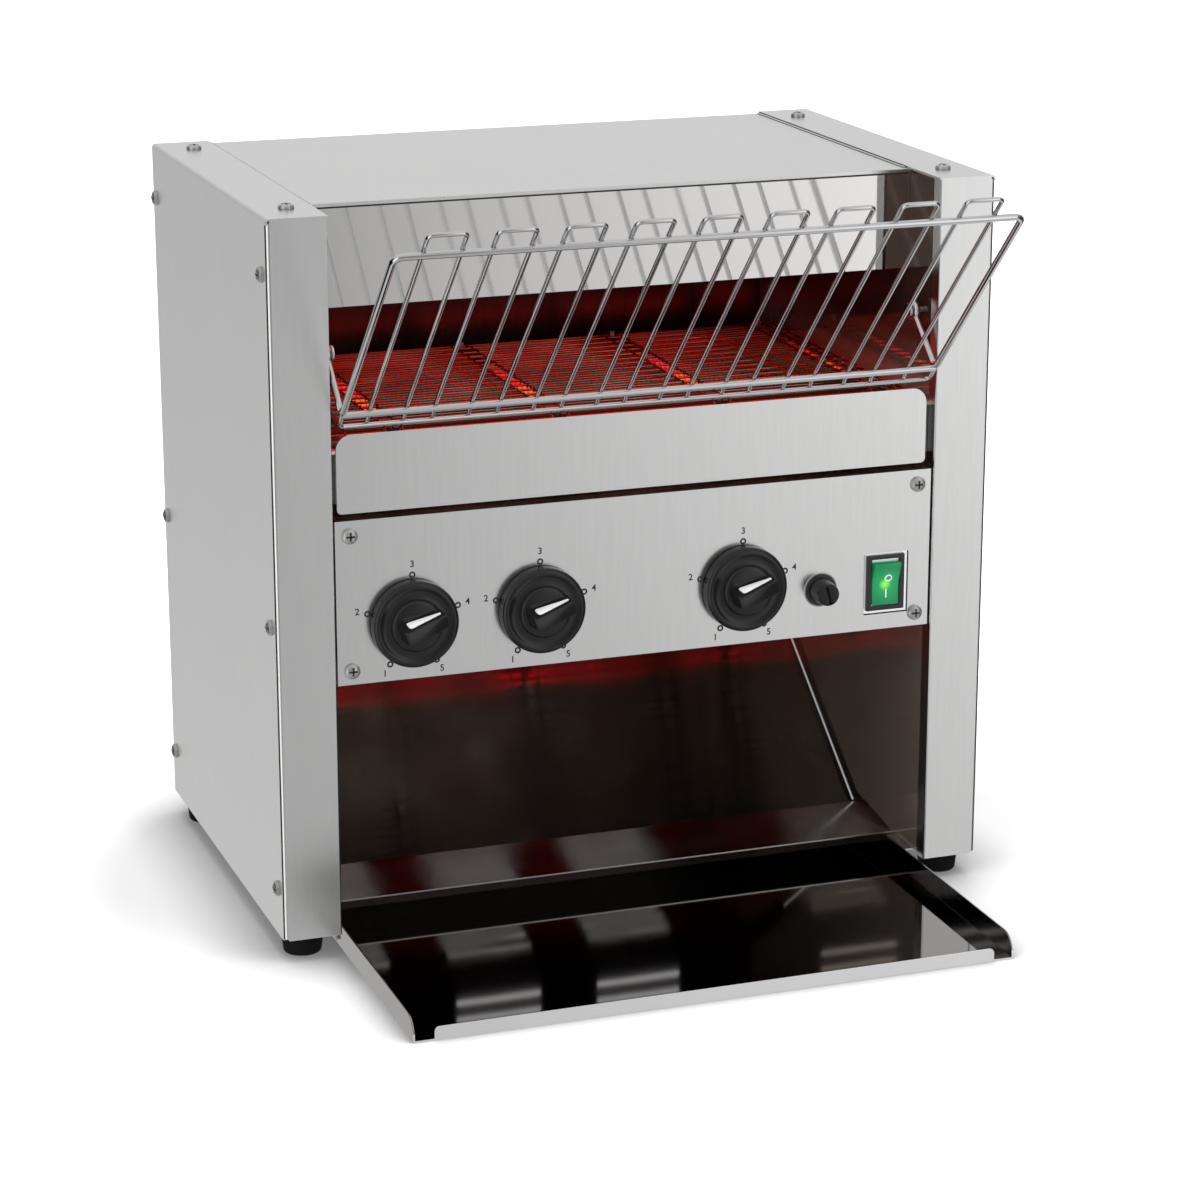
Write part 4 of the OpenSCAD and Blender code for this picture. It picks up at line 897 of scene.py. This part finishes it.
class TOASTER_OT_switch(ToasterOperator, bpy.types.Operator):
    """The power switch: bezel with rounded corners, lit rocker, O and I; and the fuse holder's cap"""

    bl_idname = "toaster.switch"
    bl_label = "Switch and fuse cap"

    def build(self, settings):
        body = smoothed(rounded(node_copy("switch_body"), 0.5, 3))
        finished(body, "switch_bezel", "cabinet", "switch_black", "switch_body")
        rocker = smoothed(rounded(node_copy("switch_rocker"), 0.7, 3), 50)
        finished(rocker, "rocker_lens", "rocker", "rocker_green", "switch_rocker")
        self.rocker_signs()
        cap = smoothed(rounded(node_copy("fuse_cap"), 0.45, 3))
        finished(cap, "fuse_cap_knob", "fuse_cap", "fuse_cap_black", "fuse_cap")
        for name, major, minor, slot in (
                ("fuse_flange", 8.8, 0.8, "fuse_black"), ("fuse_ring", 9.9, 0.5, "zinc_screws")):
            piece = ring(major, minor, casing(FUSE_X, PANEL_Y - 0.1, FUSE_Z), (QUARTER, 0, 0), 48, 10)
            finished(smoothed(piece, 60), name, "cabinet", slot)
        # the lip of the switch's cutout is a strip with a painted highlight, with a line of painted shade
        # at the right and below
        in_place = Matrix.Translation(casing(SWITCH_X, PANEL_Y, SWITCH_Z))
        lip = moved(rounded(box((-12.6, -0.15, -18.8), (14.4, 0.1, 17.6)), 0.1), in_place)
        finished(lip, "switch_lip", "cabinet", "zinc_screws", material="painted_highlight_edge")
        lines = [box((14.2, -0.25, -19.5), (15.1, 0.1, 17.6)),
                 box((-12.6, -0.25, -19.5), (14.3, 0.1, -18.6))]
        lines = moved(joined(lines, "switch_shade_lines"), in_place)
        finished(lines, "switch_shade_lines", "cabinet", "zinc_screws", material="print_and_shade_grey")

    def rocker_signs(self):
        """O and I, each lying on its half of the folded rocker."""
        tilt, fold = math.radians(8), math.radians(10)
        nought = ring(2.0, 0.45, Vector((1.2, -3.8, 3.4)) * MM, (QUARTER + fold, 0, 0), 28, 6)
        bar = rounded(box((-0.4, -0.2, -2.6), (0.4, 0.2, 2.6)), 0.15)
        lower = Matrix.Translation(Vector((0.2, -4.25, -6)) * MM)
        bar = moved(bar, lower @ Matrix.Rotation(-fold, 4, "X"))
        pivot = Matrix.Translation(casing(SWITCH_X, PANEL_Y + 1, SWITCH_Z))
        signs = moved(joined([nought, bar], "rocker_signs"), pivot @ Matrix.Rotation(tilt, 4, "X"))
        finished(signs, "rocker_signs", "rocker", "rocker_green", material="print_white")


class TOASTER_OT_hardware(ToasterOperator, bpy.types.Operator):
    """Screws, feet and the cable gland"""

    bl_idname = "toaster.hardware"
    bl_label = "Screws, feet and gland"

    def build(self, settings):
        for group in ("left_side", "right_side", "top", "panel", "back"):
            node = group + "_screws"
            piece = smoothed(rounded(node_copy(node), 0.18), 30)
            finished(piece, node + "_heads", "cabinet", "zinc_screws", node)
        self.recesses()
        foot = smoothed(turned([
            (9.6, 0.0), (10.4, 0.25), (11.0, 1.0), (11.3, 3.0), (12.4, 12.6), (12.5, 13.3), (12.1, 13.9),
            (2.1, 14.0), (2.0, 18.0)]), 40)
        feet = [twin(foot, Matrix.Translation(casing(x, y, -FOOT_H))) for x in FOOT_X for y in FOOT_Y]
        bpy.data.objects.remove(foot)
        finished(joined(feet, "rubber_feet"), "rubber_feet", "cabinet", "foot_rubber", "feet")
        gland = smoothed(rounded(node_copy("cable_gland"), 0.5))
        finished(gland, "cable_gland_body", "cabinet", "gland_black", "cable_gland")

    def recesses(self):
        """Painted shade in the cross recesses of the heads at the sides, the top and the panel, as dark
        crosses.
        """
        arm, half, low, high = 2.4, 0.5, 1.3, 2.62
        cross = joined([box((-arm, -half, low), (arm, half, high)),
                        box((-half, -arm, low), (half, arm, high))], "cross")
        places = [((side * HALF_WIDTH, y, z), Matrix.Rotation(side * QUARTER, 4, "Y"))
                  for side in (-1, 1) for y in SIDE_SCREW_Y for z in SIDE_SCREW_Z]
        places += [((side * TOP_SCREW_X, y, CASING_H), Matrix.Identity(4))
                   for side in (-1, 1) for y in TOP_SCREW_Y]
        places += [((side * PANEL_SCREW_X, PANEL_Y, z), Matrix.Rotation(QUARTER, 4, "X"))
                   for side in (-1, 1) for z in PANEL_SCREW_Z]
        copies = [twin(cross, Matrix.Translation(casing(*place)) @ turn) for place, turn in places]
        bpy.data.objects.remove(cross)
        finished(joined(copies, "screw_recess_shades"), "screw_recess_shades", "cabinet", "zinc_screws",
                 material="print_and_shade_grey")


class TOASTER_OT_stage(ToasterOperator, bpy.types.Operator):
    """Floor, studio light, world and camera"""

    bl_idname = "toaster.stage"
    bl_label = "Stage"

    def build(self, settings):
        self.floor()
        self.lights()
        self.world()
        data = bpy.data.cameras.new("camera")
        data.lens = 104.3
        data.sensor_width = 36
        camera = bpy.data.objects.new("camera", data)
        bpy.context.collection.objects.link(camera)
        camera.location = (-0.6641, -1.8696, 0.7566)
        camera.rotation_euler = (math.radians(90 - 16.39), 0, math.radians(-19.63))
        bpy.context.scene.camera = camera
        bpy.context.scene.view_settings.view_transform = "Standard"

    def floor(self):
        """A pale floor that shows the lamps' soft shadow near the feet, with a contact shadow painted
        from ambient occlusion, and is white farther out.
        """
        deselect()
        bpy.ops.mesh.primitive_plane_add(size=14)
        floor = bpy.context.object
        floor.name = "floor"
        floor.visible_glossy = False
        pale = (0.82, 0.82, 0.82)
        made = Finish("floor", pale, 0.0, 1.0)
        made.set(SHEEN, 0)
        out = made.tree.nodes.new("ShaderNodeVectorMath")
        out.operation = "LENGTH"
        made.tree.links.new(made.coords, out.inputs[0])
        white = made.ranged(out.outputs["Value"], 0.12, 1.0, 0.29, 0.52)
        path = made.tree.nodes.new("ShaderNodeLightPath")
        seen = made.tree.nodes.new("ShaderNodeMath")
        seen.operation = "MULTIPLY"
        made.tree.links.new(path.outputs["Is Camera Ray"], seen.inputs[0])
        made.tree.links.new(white, seen.inputs[1])
        made.link(seen.outputs[0], "Emission Strength").set("Emission Color", (1, 1, 1, 1))
        # painted shadow: the floor's colour darkens where ambient occlusion finds the toaster close
        painted_contact_shadow = made.tree.nodes.new("ShaderNodeAmbientOcclusion")
        painted_contact_shadow.inputs["Distance"].default_value = 0.05
        shadow_tones = made.ramp(painted_contact_shadow.outputs["AO"], (0.35, (0.2, 0.2, 0.2)), (1.0, pale))
        made.link(shadow_tones, "Base Color")
        floor.data.materials.append(made.mat)

    def lights(self):
        """Large soft lights from the front right, the left and above."""
        for name, place, size, power in (
                ("key", (1.5, -1.7, 1.9), 1.8, 42), ("fill", (-1.9, -0.9, 1.3), 1.8, 22),
                ("top", (0.0, 0.2, 2.3), 2.2, 34)):
            data = bpy.data.lights.new(name, "AREA")
            data.shape = "SQUARE"
            data.size = size
            data.energy = power
            light = bpy.data.objects.new(name, data)
            bpy.context.collection.objects.link(light)
            light.location = place
            aim = Vector((0, 0, 0.2)) - light.location
            light.rotation_euler = aim.to_track_quat("-Z", "Y").to_euler()
            light.visible_glossy = False

    def world(self):
        """White for the camera; metal mirrors a studio that is darker on the front left."""
        world = bpy.data.worlds.new("studio")
        bpy.context.scene.world = world
        world.use_nodes = True
        tree = world.node_tree
        background = tree.nodes["Background"]
        new, link = tree.nodes.new, tree.links.new
        axes = new("ShaderNodeSeparateXYZ")
        link(new("ShaderNodeTexCoord").outputs["Generated"], axes.inputs[0])

        def ranged(value, start, end, low, high):
            node = new("ShaderNodeMapRange")
            node.interpolation_type = "SMOOTHSTEP"
            for socket, number in zip(RANGE, (start, end, low, high)):
                node.inputs[socket].default_value = number
            link(value, node.inputs["Value"])
            return node.outputs["Result"]

        def mixed(share, a, b):
            node = new("ShaderNodeMix")
            link(share, node.inputs["Factor"])
            for value, socket in ((a, "A"), (b, "B")):
                if isinstance(value, float):
                    node.inputs[socket].default_value = value
                else:
                    link(value, node.inputs[socket])
            return node.outputs["Result"]

        x, y, z = axes.outputs
        # seen in the front faces, left pillar to right pillar, with a bright card beyond the left
        left = mixed(ranged(x, -0.64, -0.46, 0, 1), 1.35, ranged(z, -0.42, -0.18, 0.5, 0.25))
        right = ranged(z, -0.42, -0.15, 0.62, 1.35)
        front = mixed(ranged(x, 0.13, 0.53, 0, 1), left, right)
        # seen in the left side and the top, dark beyond both
        side = mixed(ranged(x, -0.65, -0.47, 0, 1), 0.0, ranged(z, -0.42, -0.1, 0.7, 0.55))
        back = mixed(ranged(x, -0.3, 0.3, 0, 1), side, 0.75)
        around = mixed(ranged(y, -0.35, -0.1, 0, 1), front, back)
        around = mixed(ranged(x, 0.58, 0.74, 0, 1), around, 0.06)
        studio = mixed(ranged(z, 0.05, 0.9, 0, 1), around, 0.75)
        path = new("ShaderNodeLightPath")
        seen = mixed(path.outputs["Is Glossy Ray"], 0.55, studio)
        link(mixed(path.outputs["Is Camera Ray"], seen, 1.0), background.inputs["Strength"])
        background.inputs["Color"].default_value = (1, 1, 1, 1)


class TOASTER_PT_panel(bpy.types.Panel):
    """The toaster's settings and steps in the sidebar"""

    bl_idname = "TOASTER_PT_panel"
    bl_label = "Conveyor toaster"
    bl_space_type = "VIEW_3D"
    bl_region_type = "UI"
    bl_category = "Toaster"

    def draw(self, context):
        for name in ToasterSettings.__annotations__:
            self.layout.prop(context.scene.toaster, name)
        for operator in OPERATORS:
            self.layout.operator(operator.bl_idname)


OPERATORS = (
    TOASTER_OT_finishes, TOASTER_OT_sheet_metal, TOASTER_OT_feed_rack, TOASTER_OT_wire_belt,
    TOASTER_OT_dials, TOASTER_OT_switch, TOASTER_OT_hardware, TOASTER_OT_stage,
)
CLASSES = (ToasterSettings, *OPERATORS, TOASTER_PT_panel)


def register():
    for cls in CLASSES:
        bpy.utils.register_class(cls)
    bpy.types.Scene.toaster = PointerProperty(type=ToasterSettings)


def unregister():
    del bpy.types.Scene.toaster
    for cls in reversed(CLASSES):
        bpy.utils.unregister_class(cls)


def main():
    """Builds everything."""
    register()
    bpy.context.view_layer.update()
    for operator in OPERATORS:
        area, name = operator.bl_idname.split(".")
        getattr(getattr(bpy.ops, area), name)()


if __name__ == "__main__":
    main()
